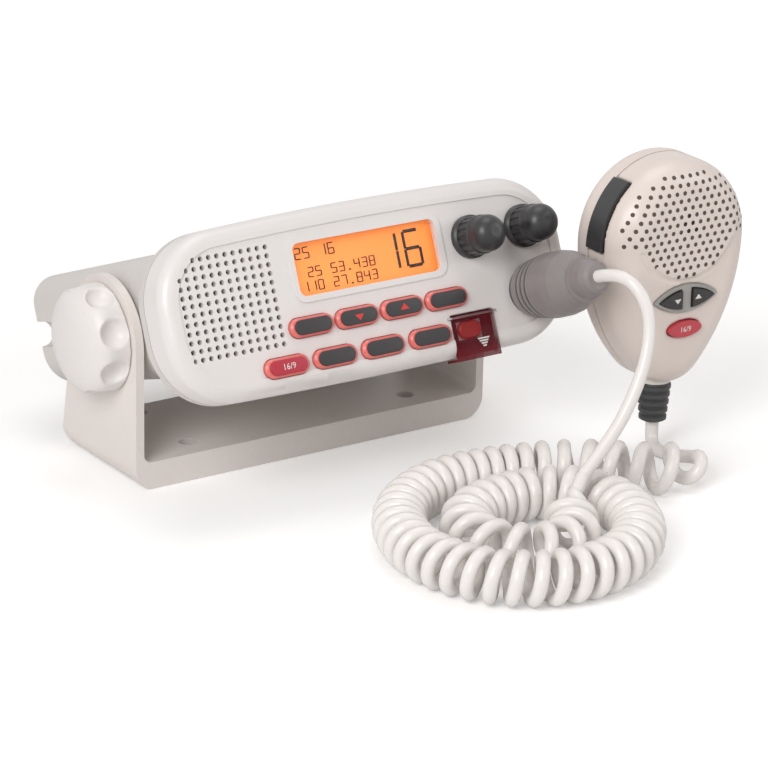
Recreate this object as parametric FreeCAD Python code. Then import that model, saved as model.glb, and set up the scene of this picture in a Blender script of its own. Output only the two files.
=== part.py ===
import FreeCAD, Part
import math
import os
from FreeCAD import Vector

# Fixed-mount marine VHF radio on its gimbal bracket, with a fist microphone and a curly cord.
# Millimetres, Z up, the panel faces -Y. The origin is the middle of the bracket's base on the floor.
# Chassis pieces are drawn upright about the panel's centre (X right, Y back, Z up) and then tilted.

# Tilt of the chassis and where its panel's centre stands
TILT_DEG = 22.65
PANEL_Y = -61.2
PANEL_Z = 73.5
PIVOT_DEPTH = 61.4
PIVOT_RISE = 1.2

# Front bezel
BEZEL_W = 165.4
BEZEL_H = 61.3
BEZEL_R = 25.0
TOP_CROWN_R = 1400.0
BOTTOM_CROWN_R = 2600.0
BEZEL_D = 12.6
RIM_ROUND = 4.6
WALL = 2.4
FACE_DIP = 0.6
FACE_INSET = 6.4
SEAM = 0.4

# Cast rear chassis
FLANGE_D = 5.0
BODY_END = 121.0
BODY_HALF_W = 69.0
BODY_TOP_FRONT, BODY_TOP_REAR = 24.9, 27.0
BODY_LOW_FRONT, BODY_LOW_REAR = -20.1, -12.9
CAVITY_HALF_W = 59.0
CHANNEL_R = 4.6
CHANNEL_DEPTH = 6.4
CHANNEL_REAR_RISE = 7.0
SCREW_PLACES = [(-75.0, 16.5), (75.0, 16.5), (-75.5, -14.5), (75.5, -14.5)]
ANTENNA_X, ANTENNA_Z = 38.0, 8.0

# Front controls
GRILLE_COLS, GRILLE_ROWS = 12, 12
GRILLE_PITCH_X, GRILLE_PITCH_Z = 3.2, 3.04
GRILLE_X, GRILLE_Z = -74.1, 19.9
GRILLE_HOLE_R = 0.92
LCD_X0, LCD_X1, LCD_Z0, LCD_Z1 = -29.0, 29.6, 0.9, 19.2
KEY_W, KEY_H, KEY_PROUD, KEY_TRAVEL = 17.3, 6.8, 2.0, 0.8
UPPER_KEYS = (-27.4, -8.8, 9.8, 28.5)
UPPER_KEY_Z = -9.3
LOWER_KEYS = (-40.1, -20.5, -0.8, 18.9)
LOWER_KEY_Z = -21.2
SQUELCH_X, SQUELCH_Z = 43.3, 10.3
VOLUME_X, VOLUME_Z = 66.0, 10.7
KNOB_LEN = 16.5
PLUG_X, PLUG_Z, PLUG_LEN = 64.0, -12.0, 42.0
COVER_X0, COVER_X1, COVER_Z1 = 29.2, 46.5, -15.6
DISTRESS_X, DISTRESS_Z = 36.6, -21.4
SPEAKER_X = GRILLE_X + 5.5 * GRILLE_PITCH_X
SPEAKER_Z = GRILLE_Z - 5.5 * GRILLE_PITCH_Z
SPEAKER_R = 18.5

# Bracket
ARM_IN, ARM_OUT = 70.5, 73.7
BRACKET_FRONT, BRACKET_BACK = -26.0, 26.0
BASE_T = 10.0
TILT = math.radians(TILT_DEG)
PIVOT_Y = PANEL_Y + PIVOT_DEPTH * math.cos(TILT) + PIVOT_RISE * math.sin(TILT)
PIVOT_Z = PANEL_Z - PIVOT_DEPTH * math.sin(TILT) + PIVOT_RISE * math.cos(TILT)
ARM_TOP_R = PIVOT_Y - BRACKET_FRONT
BASE_HOLE_R = 3.25
BASE_HOLE_X = 46.5
BASE_HOLES_Y = (-15.0, 19.0)
KNOB_R = 19.4
KNOB_T = 15.0

# Fist microphone, standing on its cord end
MIC_X, MIC_Y = 107.0, -84.7
MIC_R = 30.0
MIC_TOP_Z = 111.0
MIC_LOW_Z = 27.8
MIC_LOW_R = 15.0
MIC_FRONT, MIC_SPLIT, MIC_BACK = -15.0, 3.4, 14.0
MIC_WALL = 2.2
MIC_ROUND = 10.5
CREASE_R, CREASE_Z = 22.5, 91.0
PTT_Z = MIC_TOP_Z - MIC_R
MIC_KEYS_Z = 62.0
MIC_RED_Z = 50.6
MIC_SCREWS = [(0.0, 101.5), (-6.5, 41.5), (6.5, 41.5)]

# Cord
CORD_R = 2.25
CURL_R = 9.5
COIL_X, COIL_Y = 10.0, -139.0
LEAD_END = (20.5, 18.0, 21.0)
SPINE_Z = CURL_R + 0.15
RING_INNER, RING_OUTER, RING_OVAL, RING_GROWTH = 19.6, 39.8, 1.12, 4.0
SPREAD_FROM, SPREAD_TO, RING_TO = -235.0, -335.0, -630.0


def vec(x, y, z):
    return Vector(x, y, z)


def box(x0, x1, y0, y1, z0, z1):
    return Part.makeBox(x1 - x0, y1 - y0, z1 - z0, vec(x0, y0, z0))


def cyl_x(y, z, r, x0, x1):
    return Part.makeCylinder(r, x1 - x0, vec(x0, y, z), vec(1, 0, 0))


def cyl_y(x, z, r, y0, y1):
    return Part.makeCylinder(r, y1 - y0, vec(x, y0, z), vec(0, 1, 0))


def cyl_z(x, y, r, z0, z1):
    return Part.makeCylinder(r, z1 - z0, vec(x, y, z0), vec(0, 0, 1))


def crowned_wire(inset, y):
    """Outline of the bezel in the plane y: four corner arcs, straight sides, slightly crowned top and bottom."""
    half_w = BEZEL_W / 2 - inset
    half_h = BEZEL_H / 2 - inset
    r = BEZEL_R - inset
    corner_x = half_w - r
    points = []
    for side, crown in ((1, TOP_CROWN_R - inset), (-1, BOTTOM_CROWN_R - inset)):
        rise = half_h - crown
        corner_z = rise + math.sqrt((crown - r) ** 2 - corner_x ** 2)
        scale = crown / (crown - r)
        touch_x = corner_x * scale
        touch_z = rise + (corner_z - rise) * scale
        lean = math.atan2(touch_z - corner_z, touch_x - corner_x) / 2
        middle = (corner_x + r * math.cos(lean), corner_z + r * math.sin(lean))
        points.append((side, corner_z, touch_x, touch_z, middle))
    top, low = points
    edges = []

    def p(x, z):
        return vec(x, y, z)

    edges.append(Part.Arc(p(-top[2], top[3]), p(0, half_h), p(top[2], top[3])).toShape())
    edges.append(Part.Arc(p(top[2], top[3]), p(*top[4]), p(half_w, top[1])).toShape())
    edges.append(Part.makeLine(p(half_w, top[1]), p(half_w, -low[1])))
    edges.append(Part.Arc(p(half_w, -low[1]), p(low[4][0], -low[4][1]), p(low[2], -low[3])).toShape())
    edges.append(Part.Arc(p(low[2], -low[3]), p(0, -half_h), p(-low[2], -low[3])).toShape())
    edges.append(Part.Arc(p(-low[2], -low[3]), p(-low[4][0], -low[4][1]), p(-half_w, -low[1])).toShape())
    edges.append(Part.makeLine(p(-half_w, -low[1]), p(-half_w, top[1])))
    edges.append(Part.Arc(p(-half_w, top[1]), p(-top[4][0], top[4][1]), p(-top[2], top[3])).toShape())
    return Part.Wire(edges)


def crowned(inset, y0, y1):
    return Part.Face(crowned_wire(inset, y0)).extrude(vec(0, y1 - y0, 0))


def rounded_wire(x0, x1, z0, z1, r_top, r_low, y):
    """Rounded rectangle in the plane y, with one radius for the top corners and one for the lower ones."""
    def p(x, z):
        return vec(x, y, z)

    k = math.sqrt(0.5)
    edges = [
        Part.makeLine(p(x0 + r_top, z1), p(x1 - r_top, z1)),
        Part.Arc(p(x1 - r_top, z1), p(x1 - r_top + r_top * k, z1 - r_top + r_top * k), p(x1, z1 - r_top)).toShape(),
        Part.makeLine(p(x1, z1 - r_top), p(x1, z0 + r_low)),
        Part.Arc(p(x1, z0 + r_low), p(x1 - r_low + r_low * k, z0 + r_low - r_low * k), p(x1 - r_low, z0)).toShape(),
        Part.makeLine(p(x1 - r_low, z0), p(x0 + r_low, z0)),
        Part.Arc(p(x0 + r_low, z0), p(x0 + r_low - r_low * k, z0 + r_low - r_low * k), p(x0, z0 + r_low)).toShape(),
        Part.makeLine(p(x0, z0 + r_low), p(x0, z1 - r_top)),
        Part.Arc(p(x0, z1 - r_top), p(x0 + r_top - r_top * k, z1 - r_top + r_top * k), p(x0 + r_top, z1)).toShape(),
    ]
    return Part.Wire(edges)


def rounded(x0, x1, z0, z1, r, y0, y1):
    return Part.Face(rounded_wire(x0, x1, z0, z1, r, r, y0)).extrude(vec(0, y1 - y0, 0))


def pill(x, z, w, h, y0, y1):
    """Pill-shaped block: two half-round ends with straight sides between them."""
    r = h / 2
    reach = w / 2 - r
    edges = [
        Part.makeLine(vec(x - reach, y0, z + r), vec(x + reach, y0, z + r)),
        Part.Arc(vec(x + reach, y0, z + r), vec(x + reach + r, y0, z), vec(x + reach, y0, z - r)).toShape(),
        Part.makeLine(vec(x + reach, y0, z - r), vec(x - reach, y0, z - r)),
        Part.Arc(vec(x - reach, y0, z - r), vec(x - reach - r, y0, z), vec(x - reach, y0, z + r)).toShape(),
    ]
    return Part.Face(Part.Wire(edges)).extrude(vec(0, y1 - y0, 0))


def turned_y(x, z, outline):
    """Solid turned about a line along Y; the outline holds (depth, radius) points from front to back."""
    points = [vec(x, outline[0][0], z)]
    points += [vec(x + r, y, z) for y, r in outline]
    points += [vec(x, outline[-1][0], z)]
    clean = [points[0]]
    for q in points[1:]:
        if q.distanceToPoint(clean[-1]) > 1e-6:
            clean.append(q)
    clean.append(clean[0])
    return Part.Face(Part.makePolygon(clean)).revolve(vec(x, 0, z), vec(0, 1, 0), 360)


def front_edges(shape, y):
    return [e for e in shape.Edges if all(abs(v.Y - y) < 1e-6 for v in e.Vertexes) and
            abs(e.valueAt((e.FirstParameter + e.LastParameter) / 2).y - y) < 1e-6]


def tilted(shape):
    """Moves a piece drawn upright about the panel's centre to where the tilted chassis holds it."""
    shape = shape.copy()
    shape.rotate(vec(0, 0, 0), vec(1, 0, 0), -TILT_DEG)
    shape.translate(vec(0, PANEL_Y, PANEL_Z))
    return shape


def save(name, shape):
    if not shape.isValid():
        print("not valid:", name)
    volume = sum(s.Volume for s in shape.Solids)
    print(name, len(shape.Solids), "solids", round(volume / 1000, 2), "cm3")
    solids = shape.Solids
    (solids[0] if len(solids) == 1 else Part.makeCompound(solids)).exportStep("parts/" + name + ".step")


# Mounting bracket: a moulded U with a ribbed underside, four screw holes and a pivot hole in each arm

def bracket_side_face(x):
    """Side view of the bracket: upright front edge, round top about the pivot, back edge leaning forward."""
    top_r = ARM_TOP_R
    foot_y, foot_z, toe_r = BRACKET_BACK, 8.0, 8.0
    reach = math.hypot(foot_y - PIVOT_Y, foot_z - PIVOT_Z)
    base = math.atan2(PIVOT_Z - foot_z, PIVOT_Y - foot_y)
    swing = base - math.asin(top_r / reach)
    run = math.sqrt(reach ** 2 - top_r ** 2)
    touch = vec(x, foot_y + run * math.cos(swing), foot_z + run * math.sin(swing))
    k = math.sqrt(0.5)
    edges = [
        Part.makeLine(vec(x, BRACKET_FRONT, 0), vec(x, BRACKET_FRONT, PIVOT_Z)),
        Part.Arc(vec(x, BRACKET_FRONT, PIVOT_Z), vec(x, PIVOT_Y, PIVOT_Z + top_r), touch).toShape(),
        Part.makeLine(touch, vec(x, foot_y, foot_z)),
        Part.Arc(vec(x, foot_y, foot_z), vec(x, foot_y - toe_r + toe_r * k, toe_r - toe_r * k),
                 vec(x, foot_y - toe_r, 0)).toShape(),
        Part.makeLine(vec(x, foot_y - toe_r, 0), vec(x, BRACKET_FRONT, 0)),
    ]
    return Part.Face(Part.Wire(edges))


def make_bracket():
    side = bracket_side_face(-100).extrude(vec(200, 0, 0))
    outer = rounded_wire(-ARM_OUT, ARM_OUT, 0, 90, 1, 8, -40)
    inner = rounded_wire(-ARM_IN, ARM_IN, BASE_T, 100, 1, 3, -40)
    shell = Part.Face(outer).extrude(vec(0, 80, 0)).cut(Part.Face(inner).extrude(vec(0, 80, 0)))
    body = side.common(shell)
    for x in (-39.0, -13.0, 13.0, 39.0):
        body = body.cut(box(x - 11.5, x + 11.5, BRACKET_FRONT + 4, BRACKET_BACK - 11, -1, BASE_T - 3.5))
    for x in (-60.0, 60.0):
        body = body.cut(box(x - 7.0, x + 7.0, BRACKET_FRONT + 4, BRACKET_BACK - 11, -1, BASE_T - 3.5))
    for x in (-BASE_HOLE_X, BASE_HOLE_X):
        for y in BASE_HOLES_Y:
            body = body.fuse(cyl_z(x, y, 6.2, 0, BASE_T - 3))
    for x in (-BASE_HOLE_X, BASE_HOLE_X):
        for y in BASE_HOLES_Y:
            body = body.cut(cyl_z(x, y, BASE_HOLE_R, -1, BASE_T + 1))
    body = body.cut(cyl_x(PIVOT_Y, PIVOT_Z, 4.2, -100, 100))
    return body.removeSplitter()


# Gimbal knobs: white lobed knobs with dished scoops, a brass stud in each, a rubber washer under each

def make_gimbal_knob(side):
    x0 = ARM_OUT + 0.3
    blank = cyl_x(PIVOT_Y, PIVOT_Z, KNOB_R, x0, x0 + KNOB_T)
    rim = [e for e in blank.Edges if len(e.Vertexes) == 1 and abs(e.CenterOfMass.x - x0 - KNOB_T) < 0.01]
    knob = blank.makeFillet(4.5, rim)
    for i in range(8):
        a = math.radians(45 * i + 22.5)
        y = PIVOT_Y + (KNOB_R + 1.2) * math.cos(a)
        z = PIVOT_Z + (KNOB_R + 1.2) * math.sin(a)
        knob = knob.cut(Part.makeSphere(4.6, vec(x0 + 6.5, y, z)))
        knob = knob.cut(cyl_x(y, z, 4.6, x0 - 1, x0 + 6.5))
    knob = knob.cut(cyl_x(PIVOT_Y, PIVOT_Z, 3.0, x0 - 1, x0 + 9))
    return knob if side > 0 else knob.mirror(vec(0, 0, 0), vec(1, 0, 0))


def make_gimbal_stud(side):
    stud = cyl_x(PIVOT_Y, PIVOT_Z, 3.0, BODY_HALF_W - 9.4, ARM_OUT + 9.0)
    return stud if side > 0 else stud.mirror(vec(0, 0, 0), vec(1, 0, 0))


def make_gimbal_washer(side):
    ring = cyl_x(PIVOT_Y, PIVOT_Z, 11.0, BODY_HALF_W + 0.1, ARM_IN - 0.1)
    ring = ring.cut(cyl_x(PIVOT_Y, PIVOT_Z, 4.7, BODY_HALF_W - 1, ARM_IN + 1))
    return ring if side > 0 else ring.mirror(vec(0, 0, 0), vec(1, 0, 0))


# Front bezel: a shallow moulded shell with a rounded rim, a dipped face, a speaker grille and its apertures

def grille_holes():
    holes = []
    for row in range(GRILLE_ROWS):
        for col in range(GRILLE_COLS):
            if row + col < 2 and not (row == 1 and col == 1):
                continue
            x = GRILLE_X + col * GRILLE_PITCH_X
            z = GRILLE_Z - row * GRILLE_PITCH_Z
            holes.append(cyl_y(x, z, GRILLE_HOLE_R, -1, WALL + 2))
    return holes


def key_places():
    places = [("key_upper_%d" % (i + 1), x, UPPER_KEY_Z) for i, x in enumerate(UPPER_KEYS)]
    places += [("key_lower_%d" % (i + 1), x, LOWER_KEY_Z) for i, x in enumerate(LOWER_KEYS)]
    return places


def make_bezel():
    block = crowned(0, 0, BEZEL_D)
    body = block.makeFillet(RIM_ROUND, front_edges(block, 0))
    body = body.cut(crowned(FACE_INSET, -1, FACE_DIP))
    frame = rounded(LCD_X0 - 2.2, LCD_X1 + 2.2, LCD_Z0 - 2.2, LCD_Z1 + 2.2, 4.4, 0, FACE_DIP + 0.2)
    body = body.fuse(frame)
    body = body.cut(crowned(WALL, WALL + FACE_DIP, BEZEL_D + 1))
    for x, z in SCREW_PLACES:
        post = cyl_y(x, z, 3.0, WALL, BEZEL_D - 0.6)
        body = body.fuse(post.common(crowned(1.0, 0, BEZEL_D)))
    tools = [rounded(LCD_X0, LCD_X1, LCD_Z0, LCD_Z1, 2.6, -1, 5)]
    for name, x, z in key_places():
        tools.append(pill(x, z, KEY_W + 0.5, KEY_H + 0.5, -1, 5))
    for x, z in ((SQUELCH_X, SQUELCH_Z), (VOLUME_X, VOLUME_Z)):
        tools.append(cyl_y(x, z, 4.1, -1, 5))
    tools.append(cyl_y(PLUG_X, PLUG_Z, 8.0, -1, 5))
    tools.append(pill(DISTRESS_X, DISTRESS_Z, 10.0, 6.6, -1, 5))
    tools.append(box(COVER_X0 - 0.3, COVER_X1 + 0.3, -1, 1.9, -40, COVER_Z1 + 0.3))
    for x, z in SCREW_PLACES:
        tools.append(cyl_y(x, z, 1.3, 5, BEZEL_D + 1))
    tools += grille_holes()
    return body.cut(Part.makeCompound(tools)).removeSplitter()


def make_gasket():
    return crowned(0.8, BEZEL_D, BEZEL_D + SEAM).cut(crowned(WALL - 0.1, BEZEL_D - 1, BEZEL_D + 1))


# Rear chassis: one casting with a flange that matches the bezel, a tapered body and a mounting channel each side

def channel(side):
    """U-shaped channel that runs from the pivot up to the rear end, open at the rear and at the side."""
    half = CHANNEL_R
    straight = CHANNEL_DEPTH - half
    start = vec(BODY_HALF_W + 2, PIVOT_DEPTH, PIVOT_RISE)
    run = BODY_END + 6 - PIVOT_DEPTH
    rise = (CHANNEL_REAR_RISE - PIVOT_RISE) * run / (BODY_END - PIVOT_DEPTH)
    centre_x = BODY_HALF_W - straight

    def p(x, z):
        return vec(x, start.y, start.z + z)

    edges = [
        Part.makeLine(p(start.x, half), p(centre_x, half)),
        Part.Arc(p(centre_x, half), p(centre_x - half, 0), p(centre_x, -half)).toShape(),
        Part.makeLine(p(centre_x, -half), p(start.x, -half)),
        Part.makeLine(p(start.x, -half), p(start.x, half)),
    ]
    run_solid = Part.Face(Part.Wire(edges)).extrude(vec(0, run, rise))
    seat = cyl_x(PIVOT_DEPTH, PIVOT_RISE, half, BODY_HALF_W - CHANNEL_DEPTH, start.x)
    tool = run_solid.fuse(seat)
    return tool if side > 0 else tool.mirror(vec(0, 0, 0), vec(1, 0, 0))


def make_chassis():
    y0 = BEZEL_D + SEAM
    y1 = y0 + FLANGE_D
    flange = crowned(0, y0, y1)
    flange = flange.makeFillet(2.2, front_edges(flange, y1))
    front = rounded_wire(-BODY_HALF_W, BODY_HALF_W, BODY_LOW_FRONT, BODY_TOP_FRONT, 10, 13, y1 - 0.5)
    rear = rounded_wire(-BODY_HALF_W, BODY_HALF_W, BODY_LOW_REAR, BODY_TOP_REAR, 10, 13, BODY_END)
    body = Part.makeLoft([front, rear], True, True)
    body = body.makeFillet(3.0, front_edges(body, BODY_END))
    body = flange.fuse(body)
    cavity = box(-CAVITY_HALF_W, CAVITY_HALF_W, y1 - 1, BODY_END - 4, BODY_LOW_REAR + 3.4, BODY_TOP_FRONT - 3.4)
    mouth = rounded(-74, 74, -18, 21.5, 12, y0 - 1, y1 - 1.4)
    body = body.cut(cavity.fuse(mouth))
    body = body.cut(channel(1)).cut(channel(-1))
    sleeve_x = BODY_HALF_W - 9.6
    tools = [cyl_x(PIVOT_DEPTH, PIVOT_RISE, 4.0, -80, -sleeve_x), cyl_x(PIVOT_DEPTH, PIVOT_RISE, 4.0, sleeve_x, 80)]
    for x, z in SCREW_PLACES:
        tools.append(cyl_y(x, z, 1.7, y0 - 1, y1 + 6))
        tools.append(cyl_y(x, z, 3.2, y1 - 2.2, y1 + 6))
    tools.append(cyl_y(ANTENNA_X, ANTENNA_Z, 6.0, BODY_END - 8, BODY_END + 1))
    tools.append(cyl_y(-ANTENNA_X, ANTENNA_Z, 5.0, BODY_END - 8, BODY_END + 1))
    return body.cut(Part.makeCompound(tools)).removeSplitter()


def make_inserts():
    """Threaded brass sleeves cast into both sides for the gimbal studs."""
    sleeves = []
    for side in (1, -1):
        x0 = BODY_HALF_W - 9.6
        sleeve = cyl_x(PIVOT_DEPTH, PIVOT_RISE, 4.0, x0, x0 + 3.2)
        sleeve = sleeve.cut(cyl_x(PIVOT_DEPTH, PIVOT_RISE, 3.1, x0 - 1, x0 + 5))
        sleeves.append(sleeve if side > 0 else sleeve.mirror(vec(0, 0, 0), vec(1, 0, 0)))
    return Part.makeCompound(sleeves)


def make_case_screws():
    screws = []
    head_y = BEZEL_D + SEAM + FLANGE_D - 2.2
    for x, z in SCREW_PLACES:
        head = cyl_y(x, z, 2.8, head_y, head_y + 2.0)
        recess = cyl_y(x, z, 1.2, head_y + 0.9, head_y + 3)
        screws.append(head.fuse(cyl_y(x, z, 1.25, 5.4, head_y + 0.5)).cut(recess))
    return Part.makeCompound(screws)


def make_antenna_socket():
    y = BODY_END
    steps = [(y - 6, 5.9), (y, 5.9), (y, 9.2), (y + 2, 9.2), (y + 2, 7.9), (y + 14, 7.9)]
    barrel = turned_y(ANTENNA_X, ANTENNA_Z, steps)
    barrel = barrel.cut(cyl_y(ANTENNA_X, ANTENNA_Z, 5.6, y + 3, y + 15))
    pin = cyl_y(ANTENNA_X, ANTENNA_Z, 2.6, y + 2.5, y + 11)
    return barrel.fuse(pin.cut(cyl_y(ANTENNA_X, ANTENNA_Z, 2.0, y + 4, y + 12)))


def make_power_inlet():
    y = BODY_END
    gland = turned_y(-ANTENNA_X, ANTENNA_Z, [(y - 6, 4.9), (y, 4.9), (y, 7.4), (y + 2.5, 7.4), (y + 9, 5.0)])
    return gland.cut(cyl_y(-ANTENNA_X, ANTENNA_Z, 3.0, y - 3, y + 10))


# Display, boards and speaker behind the panel

def make_lcd_window():
    glass = rounded(LCD_X0 + 0.15, LCD_X1 - 0.15, LCD_Z0 + 0.15, LCD_Z1 - 0.15, 2.4, 1.2, WALL + FACE_DIP)
    lip = rounded(LCD_X0 - 1.2, LCD_X1 + 1.2, LCD_Z0 - 1.2, LCD_Z1 + 1.2, 3.6, WALL + FACE_DIP, WALL + FACE_DIP + 0.8)
    return glass.fuse(lip).removeSplitter()


def make_lcd_module():
    return rounded(LCD_X0 - 0.8, LCD_X1 + 0.8, LCD_Z0 - 0.8, LCD_Z1 + 0.8, 1.0, 4.0, 6.9)


def make_speaker():
    outline = [(3.6, SPEAKER_R), (5.2, SPEAKER_R), (5.2, 16.5), (9.5, 11.0), (16.0, 11.0)]
    frame = turned_y(SPEAKER_X, SPEAKER_Z, outline)
    cone = Part.makeCone(15.5, 4.5, 4.2, vec(SPEAKER_X, 3.5, SPEAKER_Z), vec(0, 1, 0))
    return frame.cut(cone)


def make_front_board():
    board = crowned(WALL + 3.4, 7.2, 8.8).common(box(-51, 80, 0, 20, -40, 40))
    board = board.cut(cyl_y(SPEAKER_X, SPEAKER_Z, SPEAKER_R + 0.8, 0, 20))
    board = board.cut(cyl_y(PLUG_X, PLUG_Z, 8.6, 0, 20))
    for x, z in SCREW_PLACES:
        board = board.cut(cyl_y(x, z, 3.6, 0, 20))
    return board


def make_keypad():
    """Silicone sheet with a low dome behind each key."""
    sheet = rounded(-50.0, 39.5, -27.0, -4.6, 3.0, 6.0, 7.0)
    sheet = sheet.cut(cyl_y(SPEAKER_X, SPEAKER_Z, SPEAKER_R + 0.8, 0, 20))
    sheet = sheet.cut(box(30.0, 45, 0, 20, -40, -13.5))
    for name, x, z in key_places():
        sheet = sheet.fuse(pill(x, z, 9.0, 4.0, 5.4, 6.2))
    return sheet.removeSplitter()


def make_main_board():
    return box(-54, 54, 26, 112, -6.4, -4.8)


def make_power_block():
    """Output stage, its screening can and filter coils standing on the main board."""
    parts = box(10, 46, 60, 108, -4.8, 8.0).fuse(box(-46, -12, 40, 70, -4.8, 4.0))
    parts = parts.fuse(box(-46, 46, 40, 108, -4.8, -4.2))
    for x in (-40, -26, -12):
        parts = parts.fuse(cyl_z(x, 92, 5.0, -4.8, 9.0))
    return parts


# Keys: soft pills with a raised printed pad; the flange behind the panel keeps each in its aperture

def make_key(x, z):
    front = FACE_DIP - KEY_PROUD
    base = pill(x, z, KEY_W, KEY_H, front, WALL + FACE_DIP + 0.4)
    base = base.makeChamfer(0.6, front_edges(base, front))
    pad = pill(x, z, KEY_W - 2.7, KEY_H - 1.8, front - 0.25, front + 0.1)
    flange = pill(x, z, KEY_W + 1.1, KEY_H + 1.3, WALL + FACE_DIP + 0.1, WALL + FACE_DIP + 0.9)
    return base.fuse(pad).fuse(flange)


def make_distress_button():
    front = 0.5
    cap = pill(DISTRESS_X, DISTRESS_Z, 9.4, 6.0, front, 3.6)
    cap = cap.makeChamfer(0.5, front_edges(cap, front))
    return cap.fuse(pill(DISTRESS_X, DISTRESS_Z, 12.0, 8.4, 3.2, 4.0))


def make_distress_cover():
    """Clear red flap: flush plate, wrapped under the panel's lower edge, hinged along its top."""
    plate = box(COVER_X0, COVER_X1, -0.8, 0.3, -31.6, COVER_Z1 - 1.0)
    lip = box(COVER_X0, COVER_X1, -0.8, 8.0, -31.9, -30.9)
    walls = box(COVER_X0, COVER_X0 + 1.0, -0.8, 1.6, -31.2, COVER_Z1 - 2).fuse(
        box(COVER_X1 - 1.0, COVER_X1, -0.8, 1.6, -31.2, COVER_Z1 - 2))
    flap = plate.fuse(lip).fuse(walls).removeSplitter()
    knuckle = cyl_x(0.4, COVER_Z1 - 1.0, 1.0, COVER_X0, COVER_X1)
    flap = flap.fuse(knuckle).cut(cyl_x(0.4, COVER_Z1 - 1.0, 0.62, COVER_X0 - 1, COVER_X1 + 1))
    return flap.removeSplitter()


def make_cover_pin():
    return cyl_x(0.4, COVER_Z1 - 1.0, 0.5, COVER_X0 - 1.6, COVER_X1 + 1.6)


# Rotary controls: a potentiometer with its bush through the panel, a shaft and a ribbed domed knob

def make_pot(x, z):
    case = box(x - 5.5, x + 5.5, 3.2, 7.0, z - 5.5, z + 5.5)
    bush = cyl_y(x, z, 3.6, -3.0, 3.6)
    nut = cyl_y(x, z, 5.2, -1.4, 0.4)
    return case.fuse(bush).fuse(nut).cut(cyl_y(x, z, 3.1, -5, 5.5))


def make_shaft(x, z):
    shaft = cyl_y(x, z, 2.95, -13.0, 5.0)
    return shaft.cut(box(x - 4, x + 4, -14, -5.0, z + 1.5, z + 4))


def make_knob(x, z):
    front = -KNOB_LEN
    skirt_r, waist_r, barrel_r = 7.7, 6.9, 6.5
    outline = [(0.2, 0.0), (0.2, skirt_r), (-1.6, skirt_r), (-2.2, waist_r), (-8.2, waist_r), (-8.8, barrel_r)]
    edges = []
    points = [vec(x + r, y, z) for y, r in outline]
    for a, b in zip(points, points[1:]):
        edges.append(Part.makeLine(a, b))
    shoulder = vec(x + barrel_r, front + 4.6, z)
    edges.append(Part.makeLine(points[-1], shoulder))
    crown = vec(x + 1.0, front, z)
    edges.append(Part.Arc(shoulder, vec(x + barrel_r * 0.76, front + 1.35, z), crown).toShape())
    edges.append(Part.makeLine(crown, vec(x, front, z)))
    edges.append(Part.makeLine(vec(x, front, z), points[0]))
    knob = Part.Face(Part.Wire(edges)).revolve(vec(x, 0, z), vec(0, 1, 0), 360)
    for i in range(16):
        a = math.radians(22.5 * i)
        knob = knob.cut(cyl_y(x + 7.15 * math.cos(a), z + 7.15 * math.sin(a), 0.65, -7.9, -2.5))
    return knob.cut(cyl_y(x, z, 5.6, -3.6, 1)).cut(make_shaft(x, z))


# Microphone socket in the panel and the grooved plug boot on it

def make_socket():
    outline = [(-1.6, 8.6), (0.5, 8.6), (0.5, 7.8), (13.0, 7.8)]
    return turned_y(PLUG_X, PLUG_Z, outline).cut(cyl_y(PLUG_X, PLUG_Z, 6.0, -3, -0.4))


def make_plug():
    groove = 0.7
    outline = [(-1.7, 9.4), (-2.6, 10.0), (-6.0, 10.6)]
    for y in (-6.0, -9.2, -12.4):
        r = 10.6 + (-6.0 - y) * 0.13
        outline += [(y, r), (y - 0.25, r - groove), (y - 0.95, r - groove), (y - 1.2, r)]
    outline += [(-15.0, 11.7), (-22.0, 11.6), (-26.0, 11.0), (-30.0, 9.4), (-33.0, 7.9), (-33.8, 7.9), (-34.2, 6.7)]
    outline += [(-39.0, 6.4), (-41.0, 5.6), (-PLUG_LEN, 4.2)]
    outline = [outline[0]] + [q for q, before in zip(outline[1:], outline) if q != before]
    boot = turned_y(PLUG_X, PLUG_Z, list(reversed(outline)))
    return boot.fuse(cyl_y(PLUG_X, PLUG_Z, 5.6, -2.5, -0.6))


# Fist microphone: pear-shaped front and rear shells

def mic_wire(inset, y):
    """Pear outline: a half circle on top, long side arcs and a round foot, all tangent."""
    r = MIC_R - inset
    top_z = MIC_TOP_Z - MIC_R
    low_r = MIC_LOW_R - inset
    low_z = MIC_LOW_Z + MIC_LOW_R
    drop = top_z - low_z
    big = (drop ** 2 + (MIC_R ** 2 - MIC_LOW_R ** 2)) / (2 * (MIC_R - MIC_LOW_R)) - inset
    side_x = r - big
    reach = big - low_r
    ux, uz = -side_x / reach, -drop / reach
    foot = (side_x + big * ux, top_z + big * uz)
    half_turn = math.atan2(uz, ux) / 2
    side = (side_x + big * math.cos(half_turn), top_z + big * math.sin(half_turn))

    def p(x, z):
        return vec(MIC_X + x, MIC_Y + y, z)

    edges = [
        Part.Arc(p(-r, top_z), p(0, top_z + r), p(r, top_z)).toShape(),
        Part.Arc(p(r, top_z), p(*side), p(*foot)).toShape(),
        Part.Arc(p(*foot), p(0, low_z - low_r), p(-foot[0], foot[1])).toShape(),
        Part.Arc(p(-foot[0], foot[1]), p(-side[0], side[1]), p(-r, top_z)).toShape(),
    ]
    return Part.Wire(edges)


def mic_prism(inset, y0, y1):
    return Part.Face(mic_wire(inset, y0)).extrude(vec(0, y1 - y0, 0))


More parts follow.
